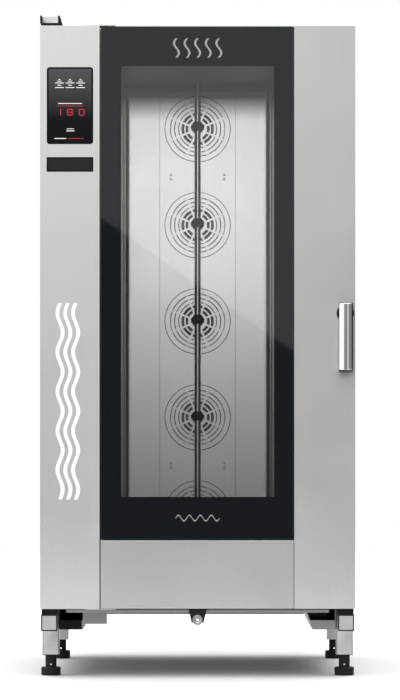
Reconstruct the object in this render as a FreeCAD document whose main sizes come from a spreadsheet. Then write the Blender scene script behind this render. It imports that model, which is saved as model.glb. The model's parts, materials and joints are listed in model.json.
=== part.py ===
import FreeCAD, Part
import math
import os
import re
import Sketcher

# Roll-in combi steamer oven for twenty GN 1/1 trays, in millimetres. +Z is up, +X is to the right and
# +Y to the back for a person who stands in front of the door. The origin is on the floor, under the
# middle of the whole oven.

doc = FreeCAD.newDocument("combi_oven")

fan_numbers = range(1, 6)  # fan 1 is the top one
blade_count = 7
guard_ribs = 8
guard_slot_rings = 5
guard_wide_rings = 2  # the inmost ones

# ---- driving dimensions: name, value, what it is ----
dimensions = [
    ("casing_width", 892, "left side to right side"),
    ("casing_depth", 925, "door face to rear panel"),
    ("casing_height", 1650, "base pan to roof"),
    ("handle_reach", 62, "door face to the front of the lever"),
    ("rear_reach", 40, "drain pipe beyond the rear panel"),
    ("sheet_metal", 1.5, "casing, door and chamber sheet"),
    ("seam", 0.5, "gap beside a cut-out or between sheets"),
    ("column_width", 168.5, "control column, left of the door"),
    ("fascia_return", 25, "folded edges of the column front"),
    ("display_inset", 20, "left side to the display"),
    ("display_width", 130, ""),
    ("display_height", 216.5, ""),
    ("display_drop", 118, "roof to the top of the display"),
    ("display_thickness", 4, ""),
    ("display_proud", 1, "display in front of the column"),
    ("display_corner", 8, "corner radius"),
    ("housing_margin", 8, "display housing beyond the cut-out"),
    ("housing_depth", 38, ""),
    ("housing_wall", 2.5, ""),
    ("board_thickness", 1.6, ""),
    ("board_margin", 6, "board to the housing wall"),
    ("spacer_radius", 3, ""),
    ("relay_size", 18, "relay block on the board"),
    ("port_drop", 373, "roof to the top of the port flap"),
    ("port_height", 39.4, ""),
    ("port_thickness", 3, ""),
    ("port_proud", 0.5, "flap in front of the column"),
    ("port_gap", 1, "flap to the cut-out"),
    ("port_round", 2.5, "rounded top edge of the flap"),
    ("port_hinge_drop", 5, "hinge below the flap's top edge"),
    ("port_hinge_depth", 5, "hinge behind the column front"),
    ("port_pin_radius", 1.2, ""),
    ("port_pin_length", 3, "pin beyond each end of the flap"),
    ("port_bore_clearance", 0.05, "radial"),
    ("port_socket_depth", 32, ""),
    ("port_socket_wall", 6, ""),
    ("socket_block", 16, "plug socket at the back of the recess"),
    ("door_gap", 3, "column to door"),
    ("door_end_gap", 0.8, "hinge plate to door"),
    ("door_thickness", 65, ""),
    ("skin_clearance", 0.3, "door skins to the door frame"),
    ("skin_return", 45, "folded edges of the right door skin"),
    ("outer_glass", 4, "thickness"),
    ("inner_glass", 5, "thickness"),
    ("inner_glass_setback", 3, "inner glass to the back of the door"),
    ("lower_skin_height", 193, "lower stainless panel of the door"),
    ("panel_seam", 2.6, "outer glass to the lower skin"),
    ("side_seam", 1.5, "outer glass to the right skin"),
    ("glass_overlap", 47, "outer glass beyond the chamber, right"),
    ("window_inset", 8.5, "chamber side to the clear window"),
    ("window_rise", 177, "chamber floor to the clear window"),
    ("window_drop", 28, "chamber ceiling to the clear window"),
    ("window_margin", 14, "door opening beyond the clear window"),
    ("lamp_width", 10, ""),
    ("lamp_depth", 14, ""),
    ("lamp_setback", 20, "door face to the lamps"),
    ("lamp_end_gap", 34, "lamp end to the door opening"),
    ("gasket_depth", 9, "door to the front frame"),
    ("gasket_width", 14, ""),
    ("gasket_inset", 8, "chamber mouth to the gasket"),
    ("gasket_gap", 0.3, "gasket to the front frame"),
    ("gasket_round", 4, "rounded sealing edge"),
    ("hinge_inset", 24, "door's left edge to the hinge axis"),
    ("hinge_setback", 11, "door face to the hinge axis"),
    ("hinge_plate", 2.5, "thickness"),
    ("hinge_plate_reach", 18, "plate beyond the axis, to the right"),
    ("hinge_plate_grip", 42, "plate over the column"),
    ("hinge_plate_depth", 52, ""),
    ("hinge_plate_inset", 4, "door face to the plate"),
    ("hinge_pin_radius", 4.5, ""),
    ("hinge_pin_length", 20, ""),
    ("bush_wall", 1.4, ""),
    ("bush_clearance", 0.05, "radial, pin in bush"),
    ("bush_seat", 0.05, "radial, bush in door"),
    ("hinge_block_width", 24, "block in the door that holds a bush"),
    ("hinge_block_depth", 26, ""),
    ("hinge_block_height", 24, ""),
    ("handle_inset", 28.3, "right side to the handle axis"),
    ("handle_rise", 837, "base pan to the handle axis"),
    ("lever_width", 38.5, ""),
    ("lever_thickness", 22, ""),
    ("lever_above", 28, "lever above its axis"),
    ("lever_below", 166, "lever below its axis"),
    ("lever_round", 10, "edge radius"),
    ("neck_radius", 14, ""),
    ("boss_radius", 24.5, ""),
    ("boss_height", 9, ""),
    ("boss_gap", 0.3, "boss to the door skin"),
    ("spindle_radius", 8, ""),
    ("spindle_clearance", 0.5, "radial, spindle in the door"),
    ("cam_width", 12, ""),
    ("cam_length", 26, "latch cam below the spindle axis"),
    ("cam_thickness", 8, ""),
    ("cam_setback", 4, "front frame to the cam"),
    ("strike_clearance", 6, "cam to the strike box"),
    ("strike_side", 16, "strike box beside the spindle axis"),
    ("strike_depth", 30, ""),
    ("strike_wall", 2, ""),
    ("frame_sheet", 2, "front frame thickness"),
    ("chamber_inset", 49.5, "door's left edge to the chamber"),
    ("chamber_width", 450, ""),
    ("chamber_rise", 140, "base pan to the chamber floor"),
    ("chamber_drop", 86, "chamber ceiling to the roof"),
    ("fan_plane_depth", 750, "door face to the fan panel"),
    ("plenum_depth", 75, "fan panel to the chamber's rear wall"),
    ("floor_drain_radius", 21, "hole in the chamber floor"),
    ("insulation_side", 40, ""),
    ("insulation_rear", 25, ""),
    ("insulation_gap", 0.5, "insulation beside the chamber"),
    ("fan_panel_width", 232, ""),
    ("panel_end_gap", 20, "fan panel to floor and ceiling"),
    ("panel_seam_gap", 1, "fan panel to the baffles"),
    ("baffle_clear", 3, "baffle to the chamber side"),
    ("baffle_corner", 12, "bend radius"),
    ("baffle_forward", 60, "straight part beside the chamber side"),
    ("fan_hole_radius", 95, "in the fan panel"),
    ("fan_top_drop", 134.5, "chamber ceiling to the top fan"),
    ("fan_bottom_rise", 109.5, "chamber floor to the bottom fan"),
    ("guard_radius", 101.5, ""),
    ("guard_thickness", 2, ""),
    ("guard_slot_first", 33, "middle radius of the inmost slots"),
    ("guard_slot_pitch", 12.6, ""),
    ("guard_wide_slot", 8.6, "slots of the inner rings"),
    ("guard_thin_slot", 2.8, "slots of the outer rings"),
    ("guard_rib_width", 6, ""),
    ("impeller_radius", 78, ""),
    ("impeller_depth", 44, ""),
    ("impeller_gap", 12, "fan panel to the impeller"),
    ("impeller_sheet", 1.5, ""),
    ("impeller_hub_radius", 51, ""),
    ("impeller_hub_depth", 30, ""),
    ("blade_inner_radius", 50, ""),
    ("shroud_inner_radius", 73.5, ""),
    ("shaft_radius", 8, ""),
    ("shaft_clearance", 4, "radial, in walls and insulation"),
    ("shaft_bore_clearance", 0.05, "radial, in the motor"),
    ("shaft_in_motor", 30, ""),
    ("heater_radius", 100, "middle radius of a heater ring"),
    ("heater_tube", 4, "radius of the heater tube"),
    ("heater_pitch", 16, "between the two rings of a heater"),
    ("motor_radius", 48, ""),
    ("motor_flange_radius", 56, ""),
    ("motor_flange", 6, "thickness"),
    ("motor_gap", 6, "motor to the rear panel"),
    ("spray_radius", 8.9, "spray tube"),
    ("spray_wall", 1.2, ""),
    ("spray_standoff", 40, "fan panel to the tube's axis"),
    ("spray_rise", 60, "chamber floor to the tube's end"),
    ("nozzle_radius", 21, ""),
    ("nozzle_neck", 11.5, "radius at its ends"),
    ("nozzle_rim", 3, "height of the widest part"),
    ("nozzle_half", 14, "half its height"),
    ("nozzle_rise", 4.5, "above the fan's middle"),
    ("nozzle_fit", 0.05, "radial, on the tube"),
    ("stud_radius", 3, "studs behind the fan panel and baffles"),
    ("stud_inset", 25, "baffle's edge to its studs"),
    ("screw_offset", 82, "panel screws beside the middle"),
    ("screw_spacing", 14, "between the two screws of a pair"),
    ("screw_radius", 3.6, "head"),
    ("screw_head", 2.5, "height"),
    ("chimney_height", 30, "above the roof"),
    ("chimney_inset", 28, "column front to the pipe"),
    ("chimney_depth", 58, "pipe, front to back"),
    ("chimney_width", 45.4, "pipe, side to side"),
    ("chimney_below", 70, "pipe below the roof"),
    ("stub_flange", 3, "flange under the roof, beyond the pipe"),
    ("collar_inset", 8, "column front to the collar"),
    ("collar_depth", 84, ""),
    ("collar_band", 9, "height of the collar's base"),
    ("collar_wall", 5, "collar wall beside the pipe"),
    ("collar_flare", 8.5, "right wall, wider at its foot"),
    ("collar_fit", 0.3, "pipe to collar"),
    ("pad_height", 16, "spacer blocks on the rails"),
    ("pad_length", 44, ""),
    ("pad_width", 43, ""),
    ("rail_height", 46.5, ""),
    ("rail_width", 46, "rails, legs and crossmember"),
    ("rail_wall", 3, ""),
    ("rail_inset", 26, "side of the casing to the rail's middle"),
    ("rail_front_inset", 2, ""),
    ("rail_rear_inset", 12, ""),
    ("leg_height", 74.5, ""),
    ("front_leg_inset", 113, "door face to the leg's axis"),
    ("rear_leg_inset", 768, "door face to the leg's axis"),
    ("nut_plate", 8, "plate in the leg that holds the foot"),
    ("foot_gap", 35, "leg to the foot's disc"),
    ("foot_insert", 45, "stem inside the leg"),
    ("foot_stem_radius", 16, ""),
    ("foot_clearance", 0.3, "radial, stem in the nut plate"),
    ("foot_disc_radius", 28, ""),
    ("foot_disc_height", 23, ""),
    ("foot_chamfer", 2, ""),
    ("foot_hole_radius", 3.2, "spanner hole through the stem"),
    ("foot_hole_rise", 30, "floor to the spanner hole"),
    ("drip_height", 11, "drip channel under the door"),
    ("drip_lip", 2.5, "channel's front wall below the base pan"),
    ("drip_inset", 12, "door face to the channel"),
    ("drip_overlap", 10, "channel under the base pan"),
    ("drip_end_inset", 74, "side of the casing to the channel's end"),
    ("drip_sheet", 1.5, ""),
    ("dock_drop", 31.5, "base pan to the docking bush"),
    ("dock_inset", 3, "door face to the docking bracket"),
    ("dock_plate", 8, "thickness"),
    ("dock_top_width", 50, ""),
    ("dock_bottom_width", 34, ""),
    ("dock_bush_radius", 14.4, ""),
    ("dock_bush_length", 30, ""),
    ("dock_bore_radius", 4.2, ""),
    ("dock_lead_in", 4, "chamfer at both ends of the bore"),
    ("guide_top_inner", 306, "middle to the guide's upper inner edge"),
    ("guide_bottom_inner", 328, "middle to its lower inner edge"),
    ("guide_rail_gap", 2, "guide to the rail"),
    ("guide_height", 64, ""),
    ("guide_sheet", 2.5, ""),
    ("guide_setback", 27, "door's back to the guides"),
    ("guide_length", 560, ""),
    ("guide_lip", 27, "front lip"),
    ("flap_reach", 259, "middle to the inner edge of the left stop"),
    ("flap_top_drop", 14, "base pan to the left stop"),
    ("flap_height", 34, ""),
    ("inlet_rise", 120, "base pan to the water inlets"),
    ("inlet_offset", 300, "middle to the first water inlet"),
    ("inlet_spacing", 60, ""),
    ("inlet_radius", 13.2, "G3/4 male thread"),
    ("inlet_bore", 9, "radius"),
    ("inlet_length", 28, "outside the rear panel"),
    ("inlet_nut", 5, "locknut outside the rear panel"),
    ("inlet_body", 30, "valve body inside the rear panel"),
    ("inlet_body_radius", 18, ""),
    ("drain_radius", 24, "outside radius of the drain pipe"),
    ("drain_outlet_radius", 25, "DN 50 sleeve at its end"),
    ("drain_outlet_length", 35, "sleeve"),
    ("drain_wall", 2, ""),
    ("drain_bend", 45, "radius of the elbow"),
    ("drain_drop", 80, "chamber floor to the horizontal run"),
    ("drain_inset", 250, "chamber's rear wall to the floor drain"),
    ("gland_radius", 20, "cable gland"),
    ("gland_bore", 9, "radius"),
    ("gland_length", 24, "outside the rear panel"),
    ("gland_spacing", 160, "second inlet to the gland"),
    ("louvre_width", 150, ""),
    ("louvre_height", 6, ""),
    ("louvre_pitch", 20, ""),
    ("louvre_offset", 190, "middle to the louvres' middle"),
    ("louvre_rise", 250, "lowest louvre above the chamber floor"),
]
louvre_count = 12

# ---- places that follow from them ----
formulas = [
    ("front", "handle_reach - (casing_depth + handle_reach + rear_reach) / 2"),
    ("rear", "front + casing_depth"),
    ("side", "casing_width / 2"),
    ("rail_bottom", "foot_disc_height + foot_gap + leg_height"),
    ("rail_top", "rail_bottom + rail_height"),
    ("casing_bottom", "rail_top + pad_height"),
    ("casing_top", "casing_bottom + casing_height"),
    ("inner_side", "side - sheet_metal"),
    ("inner_top", "casing_top - sheet_metal"),
    ("inner_bottom", "casing_bottom + sheet_metal"),
    ("inner_rear", "rear - sheet_metal"),
    ("column_edge", "column_width - side"),
    ("column_back", "front + fascia_return"),
    ("door_left", "column_edge + door_gap"),
    ("door_back", "front + door_thickness"),
    ("door_top", "casing_top - door_end_gap"),
    ("door_bottom", "casing_bottom + door_end_gap"),
    ("tray_inset", "sheet_metal + skin_clearance"),
    ("tray_left", "door_left + tray_inset"),
    ("tray_right", "side - tray_inset"),
    ("tray_top", "door_top - tray_inset"),
    ("tray_bottom", "door_bottom + tray_inset"),
    ("tray_front", "front + outer_glass"),
    ("frame_front", "door_back + gasket_depth"),
    ("frame_back", "frame_front + frame_sheet"),
    ("chamber_left", "door_left + chamber_inset"),
    ("chamber_right", "chamber_left + chamber_width"),
    ("chamber_mid", "chamber_left + chamber_width / 2"),
    ("chamber_bottom", "casing_bottom + chamber_rise"),
    ("chamber_top", "casing_top - chamber_drop"),
    ("fan_plane", "front + fan_plane_depth"),
    ("chamber_back", "fan_plane + sheet_metal + plenum_depth"),
    ("insulation_back", "chamber_back + sheet_metal + insulation_rear"),
    ("glass_right", "chamber_right + glass_overlap"),
    ("right_skin_left", "glass_right + side_seam"),
    ("lower_skin_top", "door_bottom + lower_skin_height"),
    ("glass_bottom", "lower_skin_top + panel_seam"),
    ("opening_left", "chamber_left + window_inset - window_margin"),
    ("opening_right", "chamber_right - window_inset + window_margin"),
    ("opening_bottom", "chamber_bottom + window_rise - window_margin"),
    ("opening_top", "chamber_top - window_drop + window_margin"),
    ("hinge_x", "door_left + hinge_inset"),
    ("hinge_y", "front + hinge_setback"),
    ("bush_bore", "hinge_pin_radius + bush_clearance"),
    ("bush_radius", "bush_bore + bush_wall"),
    ("handle_x", "side - handle_inset"),
    ("handle_z", "casing_bottom + handle_rise"),
    ("display_left", "display_inset - side"),
    ("display_right", "display_left + display_width"),
    ("display_top", "casing_top - display_drop"),
    ("display_bottom", "display_top - display_height"),
    ("display_back", "front - display_proud + display_thickness"),
    ("port_top", "casing_top - port_drop"),
    ("port_bottom", "port_top - port_height"),
    ("port_hinge_y", "front + port_hinge_depth"),
    ("port_hinge_z", "port_top - port_hinge_drop"),
    ("fan_top_z", "chamber_top - fan_top_drop"),
    ("fan_pitch", "(fan_top_z - chamber_bottom - fan_bottom_rise) / %d" % (len(fan_numbers) - 1)),
    ("panel_bottom", "chamber_bottom + panel_end_gap"),
    ("panel_top", "chamber_top - panel_end_gap"),
    ("spray_y", "fan_plane - spray_standoff"),
    ("spray_bottom", "chamber_bottom + spray_rise"),
    ("rail_x", "side - rail_inset"),
    ("collar_left", "0 - side"),
    ("chimney_left", "collar_left + collar_wall + collar_fit"),
    ("chimney_right", "chimney_left + chimney_width"),
    ("chimney_front", "front + chimney_inset"),
    ("chimney_back", "chimney_front + chimney_depth"),
    ("dock_z", "casing_bottom - dock_drop"),
    ("guide_outer", "rail_x - rail_width / 2 - guide_rail_gap"),
    ("guide_bottom", "casing_bottom - guide_height"),
    ("guide_front", "door_back + guide_setback"),
    ("inlet_z", "casing_bottom + inlet_rise"),
    ("drain_z", "chamber_bottom - drain_drop"),
    ("drain_y", "chamber_back - drain_inset"),
]

sheet = doc.addObject("Spreadsheet::Sheet", "sizes")
for row, (alias, value, note) in enumerate(dimensions, start=1):
    sheet.set("A%d" % row, alias)
    sheet.set("B%d" % row, str(value))
    sheet.setAlias("B%d" % row, alias)
    sheet.set("C%d" % row, note)
doc.recompute()
places = doc.addObject("App::VarSet", "places")
size_names = {alias for alias, value, note in dimensions}
place_names = {name for name, text in formulas}


def formula(text):
    """The text with every named value written as a reference to the sheet or to the places."""

    def reference(word):
        name = word.group()
        if name in size_names:
            return "sizes." + name
        if name in place_names:
            return "places." + name
        raise NameError(name)

    return re.sub(r"[a-z][a-z_0-9]*", reference, str(text))


for name, text in formulas:
    places.addProperty("App::PropertyFloat", name)
    places.setExpression(name, formula(text))
trial = doc.addObject("App::VarSet", "trial")
trial.addProperty("App::PropertyFloat", "outcome")
doc.recompute()


def size(name):
    """A named value as a plain number, for the shapes that Part's own functions make."""
    return sheet.get(name) if name in size_names else getattr(places, name)


def number(text):
    """What a formula comes to, as a plain number."""
    trial.setExpression("outcome", formula(text))
    trial.recompute()
    return trial.outcome


# ---- building blocks ----
turn_to = {
    "X": FreeCAD.Rotation(FreeCAD.Vector(0, 0, 1), FreeCAD.Vector(1, 0, 0)),
    "Y": FreeCAD.Rotation(FreeCAD.Vector(0, 0, 1), FreeCAD.Vector(0, 1, 0)),
    "Z": FreeCAD.Rotation(),
}


def place(item, x=0, y=0, z=0):
    for axis, text in zip("xyz", (x, y, z)):
        item.setExpression("Placement.Base." + axis, formula(text))
    return item


def box(name, x, y, z):
    """A box from its low and high side along each axis."""
    solid = doc.addObject("Part::Box", name)
    for field, (low, high) in zip(("Length", "Width", "Height"), (x, y, z)):
        solid.setExpression(field, formula("(%s) - (%s)" % (high, low)))
    return place(solid, x[0], y[0], z[0])


def rod(name, radius, along, x, y, z):
    """A cylinder along one axis; that axis gets a (low, high) pair, the others its centre."""
    solid = doc.addObject("Part::Cylinder", name)
    solid.Placement = FreeCAD.Placement(FreeCAD.Vector(), turn_to[along])
    centre = {"X": x, "Y": y, "Z": z}
    low, high = centre[along]
    centre[along] = low
    solid.setExpression("Radius", formula(radius))
    solid.setExpression("Height", formula("(%s) - (%s)" % (high, low)))
    return place(solid, centre["X"], centre["Y"], centre["Z"])


def fuse(name, solids):
    joined = doc.addObject("Part::MultiFuse", name)
    joined.Shapes = solids
    return joined


def cut(name, base, tools):
    removed = tools[0] if len(tools) == 1 else fuse(name + "_tools", tools)
    rest = doc.addObject("Part::Cut", name)
    rest.Base = base
    rest.Tool = removed
    return rest


def rounded(name, base, radius, wanted):
    """base with a fillet on each edge that wanted(edge) picks."""
    doc.recompute()
    result = doc.addObject("Part::Fillet", name)
    result.Base = base
    picked = [i for i, edge in enumerate(base.Shape.Edges, start=1) if wanted(edge)]
    result.Edges = [(i, size(radius), size(radius)) for i in picked]
    return result


def runs_along(edge, axis):
    """True if the edge is straight and lies along the axis."""
    if edge.Curve.TypeId != "Part::GeomLine":
        return False
    ends = edge.Vertexes[0].Point - edge.Vertexes[-1].Point
    return abs(abs(ends.normalize().dot(axis)) - 1) < 1e-6


def plane_of(body, role):
    return next(item for item in body.Origin.OriginFeatures if item.Role == role)


def sketch_on(body, name, role, offset=0):
    """A sketch on one of the body's own origin planes, offset along that plane's normal."""
    sketch = body.newObject("Sketcher::SketchObject", name)
    sketch.AttachmentSupport = (plane_of(body, role), "")
    sketch.MapMode = "FlatFace"
    sketch.setExpression("AttachmentOffset.Base.z", formula(offset))
    return sketch


def draw_outline(sketch, corners):
    """A closed outline of straight lines whose corners are bound to their formulas."""
    first = sketch.GeometryCount
    spots = [FreeCAD.Vector(number(x), number(y), 0) for x, y in corners]
    for start, end in zip(spots, spots[1:] + spots[:1]):
        sketch.addGeometry(Part.LineSegment(start, end), False)
    for i, (corner, spot) in enumerate(zip(corners, spots)):
        following = first + (i + 1) % len(corners)
        sketch.addConstraint(Sketcher.Constraint("Coincident", first + i, 2, following, 1))
        for kind, text, value in zip(("DistanceX", "DistanceY"), corner, spot):
            held = sketch.addConstraint(Sketcher.Constraint(kind, -1, 1, first + i, 1, value))
            sketch.setExpression("Constraints[%d]" % held, formula(text))


def draw_rectangle(sketch, x, y):
    draw_outline(sketch, [(x[0], y[0]), (x[1], y[0]), (x[1], y[1]), (x[0], y[1])])


def draw_circle(sketch, x, y, radius):
    centre = FreeCAD.Vector(number(x), number(y), 0)
    ring = sketch.addGeometry(Part.Circle(centre, FreeCAD.Vector(0, 0, 1), number(radius)), False)
    for kind, text, value in zip(("DistanceX", "DistanceY"), (x, y), centre):
        held = sketch.addConstraint(Sketcher.Constraint(kind, -1, 1, ring, 3, value))
        sketch.setExpression("Constraints[%d]" % held, formula(text))
    held = sketch.addConstraint(Sketcher.Constraint("Radius", ring, number(radius)))
    sketch.setExpression("Constraints[%d]" % held, formula(radius))


def pad(body, name, sketch, length):
    feature = body.newObject("PartDesign::Pad", name)
    feature.Profile = sketch
    feature.setExpression("Length", formula(length))
    return feature


def prism(name, corners, y):
    """A body with one outline, drawn from the front in X and Z, padded from y[1] forward to y[0]."""
    body = doc.addObject("PartDesign::Body", name)
    sketch = sketch_on(body, name + "_outline", "XZ_Plane", "0 - (%s)" % y[1])
    draw_outline(sketch, corners)
    pad(body, name + "_pad", sketch, "(%s) - (%s)" % (y[1], y[0]))
    return body


def revolved(name, profile):
    """A body turned about its own Z axis from an outline in radius and height."""
    body = doc.addObject("PartDesign::Body", name)
    sketch = sketch_on(body, name + "_profile", "XZ_Plane")
    draw_outline(sketch, profile)
    turn = body.newObject("PartDesign::Revolution", name + "_turn")
    turn.Profile = sketch
    turn.ReferenceAxis = (sketch, ["V_Axis"])
    turn.Angle = 360
    return body


pieces = []


def piece(label, item):
    """Names a finished sub-part, which is written to parts/label.step."""
    item.Label = label
    pieces.append(item)
    return item


def fan_z(number_of_fan):
    return "fan_top_z - %d * fan_pitch" % (number_of_fan - 1)


# ---- casing ----
piece("left_side_panel", box(
    "left_side", ("-side", "-inner_side"), ("column_back", "rear"), ("casing_bottom", "inner_top")))
piece("right_side_panel", box(
    "right_side", ("inner_side", "side"), ("frame_front", "rear"), ("casing_bottom", "inner_top")))

# The roof and the base pan run forward to the column front on the left and to the front frame elsewhere.
roof = box("roof_blank", ("-side", "side"), ("column_back", "rear"), ("inner_top", "casing_top"))
over_door = box("roof_corner", ("column_edge", "side"), ("column_back", "frame_front"),
                ("inner_top", "casing_top"))
chimney_hole = box("roof_hole", ("chimney_left - seam", "chimney_right + seam"),
                   ("chimney_front - seam", "chimney_back + seam"), ("inner_top", "casing_top"))
piece("roof_panel", cut("roof", roof, [over_door, chimney_hole]))

base = box("base_blank", ("-inner_side", "inner_side"), ("column_back", "rear"),
           ("casing_bottom", "inner_bottom"))
under_door = box("base_corner", ("column_edge", "side"), ("column_back", "frame_front"),
                 ("casing_bottom", "inner_bottom"))
piece("base_pan", cut("base", base, [under_door]))

# Rear panel with two rows of louvres and its holes for water, drain and power.
rear_body = doc.addObject("PartDesign::Body", "rear_body")
rear_sketch = sketch_on(rear_body, "rear_outline", "XZ_Plane", "-rear")
draw_rectangle(rear_sketch, ("-inner_side", "inner_side"), ("inner_bottom", "inner_top"))
for number_of_inlet in range(2):
    draw_circle(rear_sketch, "%d * inlet_spacing - inlet_offset" % number_of_inlet, "inlet_z",
                "inlet_radius + seam")
draw_circle(rear_sketch, "inlet_spacing + gland_spacing - inlet_offset", "inlet_z", "gland_radius - 4 * seam")
draw_circle(rear_sketch, "chamber_mid", "drain_z", "drain_radius + seam")
rear_pad = pad(rear_body, "rear_pad", rear_sketch, "sheet_metal")
louvre_sketch = sketch_on(rear_body, "louvre_outline", "XZ_Plane", "-rear")
for sign in ("-", "+"):
    middle = "chamber_mid %s louvre_offset" % sign
    draw_rectangle(louvre_sketch, (middle + " - louvre_width / 2", middle + " + louvre_width / 2"),
                   ("chamber_bottom + louvre_rise", "chamber_bottom + louvre_rise + louvre_height"))
doc.recompute()
louvres = rear_body.newObject("PartDesign::Pocket", "louvres")
louvres.Profile = louvre_sketch
louvres.Reversed = True
louvres.setExpression("Length", formula("2 * sheet_metal"))
louvre_rows = rear_body.newObject("PartDesign::LinearPattern", "louvre_rows")
louvre_rows.Originals = [louvres]
louvre_rows.Direction = (louvre_sketch, ["V_Axis"])
louvre_rows.setExpression("Length", formula("%d * louvre_pitch" % (louvre_count - 1)))
louvre_rows.Occurrences = louvre_count
rear_body.Tip = louvre_rows
piece("rear_panel", rear_body)

# ---- control column ----
fascia_blank = box("fascia_blank", ("-side", "column_edge"), ("front", "front + fascia_return"),
                   ("casing_bottom", "casing_top"))
fascia_hollow = box("fascia_hollow", ("-inner_side", "column_edge - sheet_metal"),
                    ("front + sheet_metal", "front + fascia_return"), ("inner_bottom", "inner_top"))
hole_blank = box("display_hole_blank", ("display_left - seam", "display_right + seam"),
                 ("front", "front + sheet_metal"), ("display_bottom - seam", "display_top + seam"))
display_hole = rounded("display_hole", hole_blank, "display_corner",
                       lambda edge: runs_along(edge, FreeCAD.Vector(0, 1, 0)))
port_hole = box("port_hole", ("display_left - port_gap", "display_right + port_gap"),
                ("front", "front + sheet_metal"), ("port_bottom - port_gap", "port_top + port_gap"))
piece("control_fascia", cut("fascia", fascia_blank, [fascia_hollow, display_hole, port_hole]))

display_blank = box("display_blank", ("display_left", "display_right"),
                    ("front - display_proud", "display_back"), ("display_bottom", "display_top"))
piece("display_glass", rounded("display", display_blank, "display_corner",
                               lambda edge: runs_along(edge, FreeCAD.Vector(0, 1, 0))))

housing_x = ("display_left - housing_margin", "display_right + housing_margin")
housing_z = ("display_bottom - housing_margin", "display_top + housing_margin")
housing_back = "display_back + housing_depth"
housing_blank = box("housing_blank", housing_x, ("front + sheet_metal", housing_back), housing_z)
housing_rebate = box("housing_rebate", ("display_left - seam", "display_right + seam"),
                     ("front + sheet_metal", "display_back"), ("display_bottom - seam", "display_top + seam"))
housing_hollow = box(
    "housing_hollow", ("display_left + housing_wall", "display_right - housing_wall"),
    ("display_back", housing_back + " - housing_wall"),
    ("display_bottom + housing_wall", "display_top - housing_wall"))
piece("display_housing", cut("housing", housing_blank, [housing_rebate, housing_hollow]))

# The board stands on four spacers in the housing, with a row of relays on its back.
board_y = "display_back + board_margin"
board_plate = box("board_plate", ("display_left + board_margin", "display_right - board_margin"),
                  (board_y, board_y + " + board_thickness"),
                  ("display_bottom + board_margin", "display_top - board_margin"))
relays = [
    box("relay_%d" % n,
        ("display_left + %d * relay_size" % (2 * n - 1), "display_left + %d * relay_size" % (2 * n)),
        (board_y + " + board_thickness", board_y + " + board_thickness + relay_size"),
        ("display_bottom + relay_size", "display_bottom + 3 * relay_size"))
    for n in (1, 2, 3)
]
spacers = [
    rod("spacer_%s_%s" % (end, height), "spacer_radius", "Y", end,
        (board_y + " + board_thickness", housing_back + " - housing_wall"), height)
    for end in ("display_left + 2 * board_margin", "display_right - 2 * board_margin")
    for height in ("display_bottom + 2 * board_margin", "display_top - 2 * board_margin")
]
piece("control_board", fuse("board", [board_plate] + relays + spacers))

# The flap turns on two pins in the side walls of the socket's recess.
flap_plate = box("flap_plate", ("display_left", "display_right"),
                 ("front - port_proud", "front - port_proud + port_thickness"), ("port_bottom", "port_top"))
top_front = FreeCAD.Vector(0, size("front") - size("port_proud"), size("port_top"))
flap_round = rounded(
    "flap_round", flap_plate, "port_round",
    lambda edge: runs_along(edge, FreeCAD.Vector(1, 0, 0))
    and (edge.CenterOfMass - top_front).cross(FreeCAD.Vector(1, 0, 0)).Length < 0.1)
flap_web = box("flap_web", ("display_left + port_socket_wall", "display_right - port_socket_wall"),
               ("front - port_proud + port_thickness", "port_hinge_y"),
               ("port_hinge_z - port_pin_radius", "port_hinge_z + port_pin_radius"))
flap_pin = rod("flap_pin", "port_pin_radius", "X",
               ("display_left - port_pin_length", "display_right + port_pin_length"),
               "port_hinge_y", "port_hinge_z")
piece("port_flap", fuse("flap", [flap_round, flap_web, flap_pin]))

socket_front = "front + sheet_metal"
socket_blank = box("socket_blank", ("display_left - port_socket_wall", "display_right + port_socket_wall"),
                   (socket_front, socket_front + " + port_socket_depth"),
                   ("port_bottom - port_socket_wall", "port_top + 2 * port_socket_wall"))
socket_recess = box("socket_recess", ("display_left - port_gap", "display_right + port_gap"),
                    (socket_front, socket_front + " + port_socket_depth - port_socket_wall"),
                    ("port_bottom - port_gap", "port_top + port_socket_wall"))
socket_bore = rod("socket_bore", "port_pin_radius + port_bore_clearance", "X",
                  ("display_left - port_socket_wall", "display_right + port_socket_wall"),
                  "port_hinge_y", "port_hinge_z")
socket_shell = cut("socket_shell", socket_blank, [socket_recess, socket_bore])
plug_socket = box(
    "plug_socket",
    ("display_left + display_width / 2 - socket_block / 2", "display_left + display_width / 2 + socket_block / 2"),
    (socket_front + " + port_socket_depth - port_socket_wall - socket_block / 2",
     socket_front + " + port_socket_depth - port_socket_wall"),
    ("port_bottom + socket_block / 2", "port_bottom + socket_block"))
piece("port_socket", fuse("socket", [socket_shell, plug_socket]))

# ---- exhaust stub and its collar ----
stub_blank = box("stub_blank", ("chimney_left", "chimney_right"), ("chimney_front", "chimney_back"),
                 ("casing_top - chimney_below", "casing_top + chimney_height"))
stub_duct = box("stub_duct", ("chimney_left + sheet_metal", "chimney_right - sheet_metal"),
                ("chimney_front + sheet_metal", "chimney_back - sheet_metal"),
                ("casing_top - chimney_below", "casing_top + chimney_height"))
stub_flange = box("stub_flange", ("chimney_left - stub_flange", "chimney_right + stub_flange"),
                  ("chimney_front - stub_flange", "chimney_back + stub_flange"),
                  ("inner_top - sheet_metal", "inner_top"))
piece("chimney_pipe", cut("stub", fuse("stub_solid", [stub_blank, stub_flange]), [stub_duct]))

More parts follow.
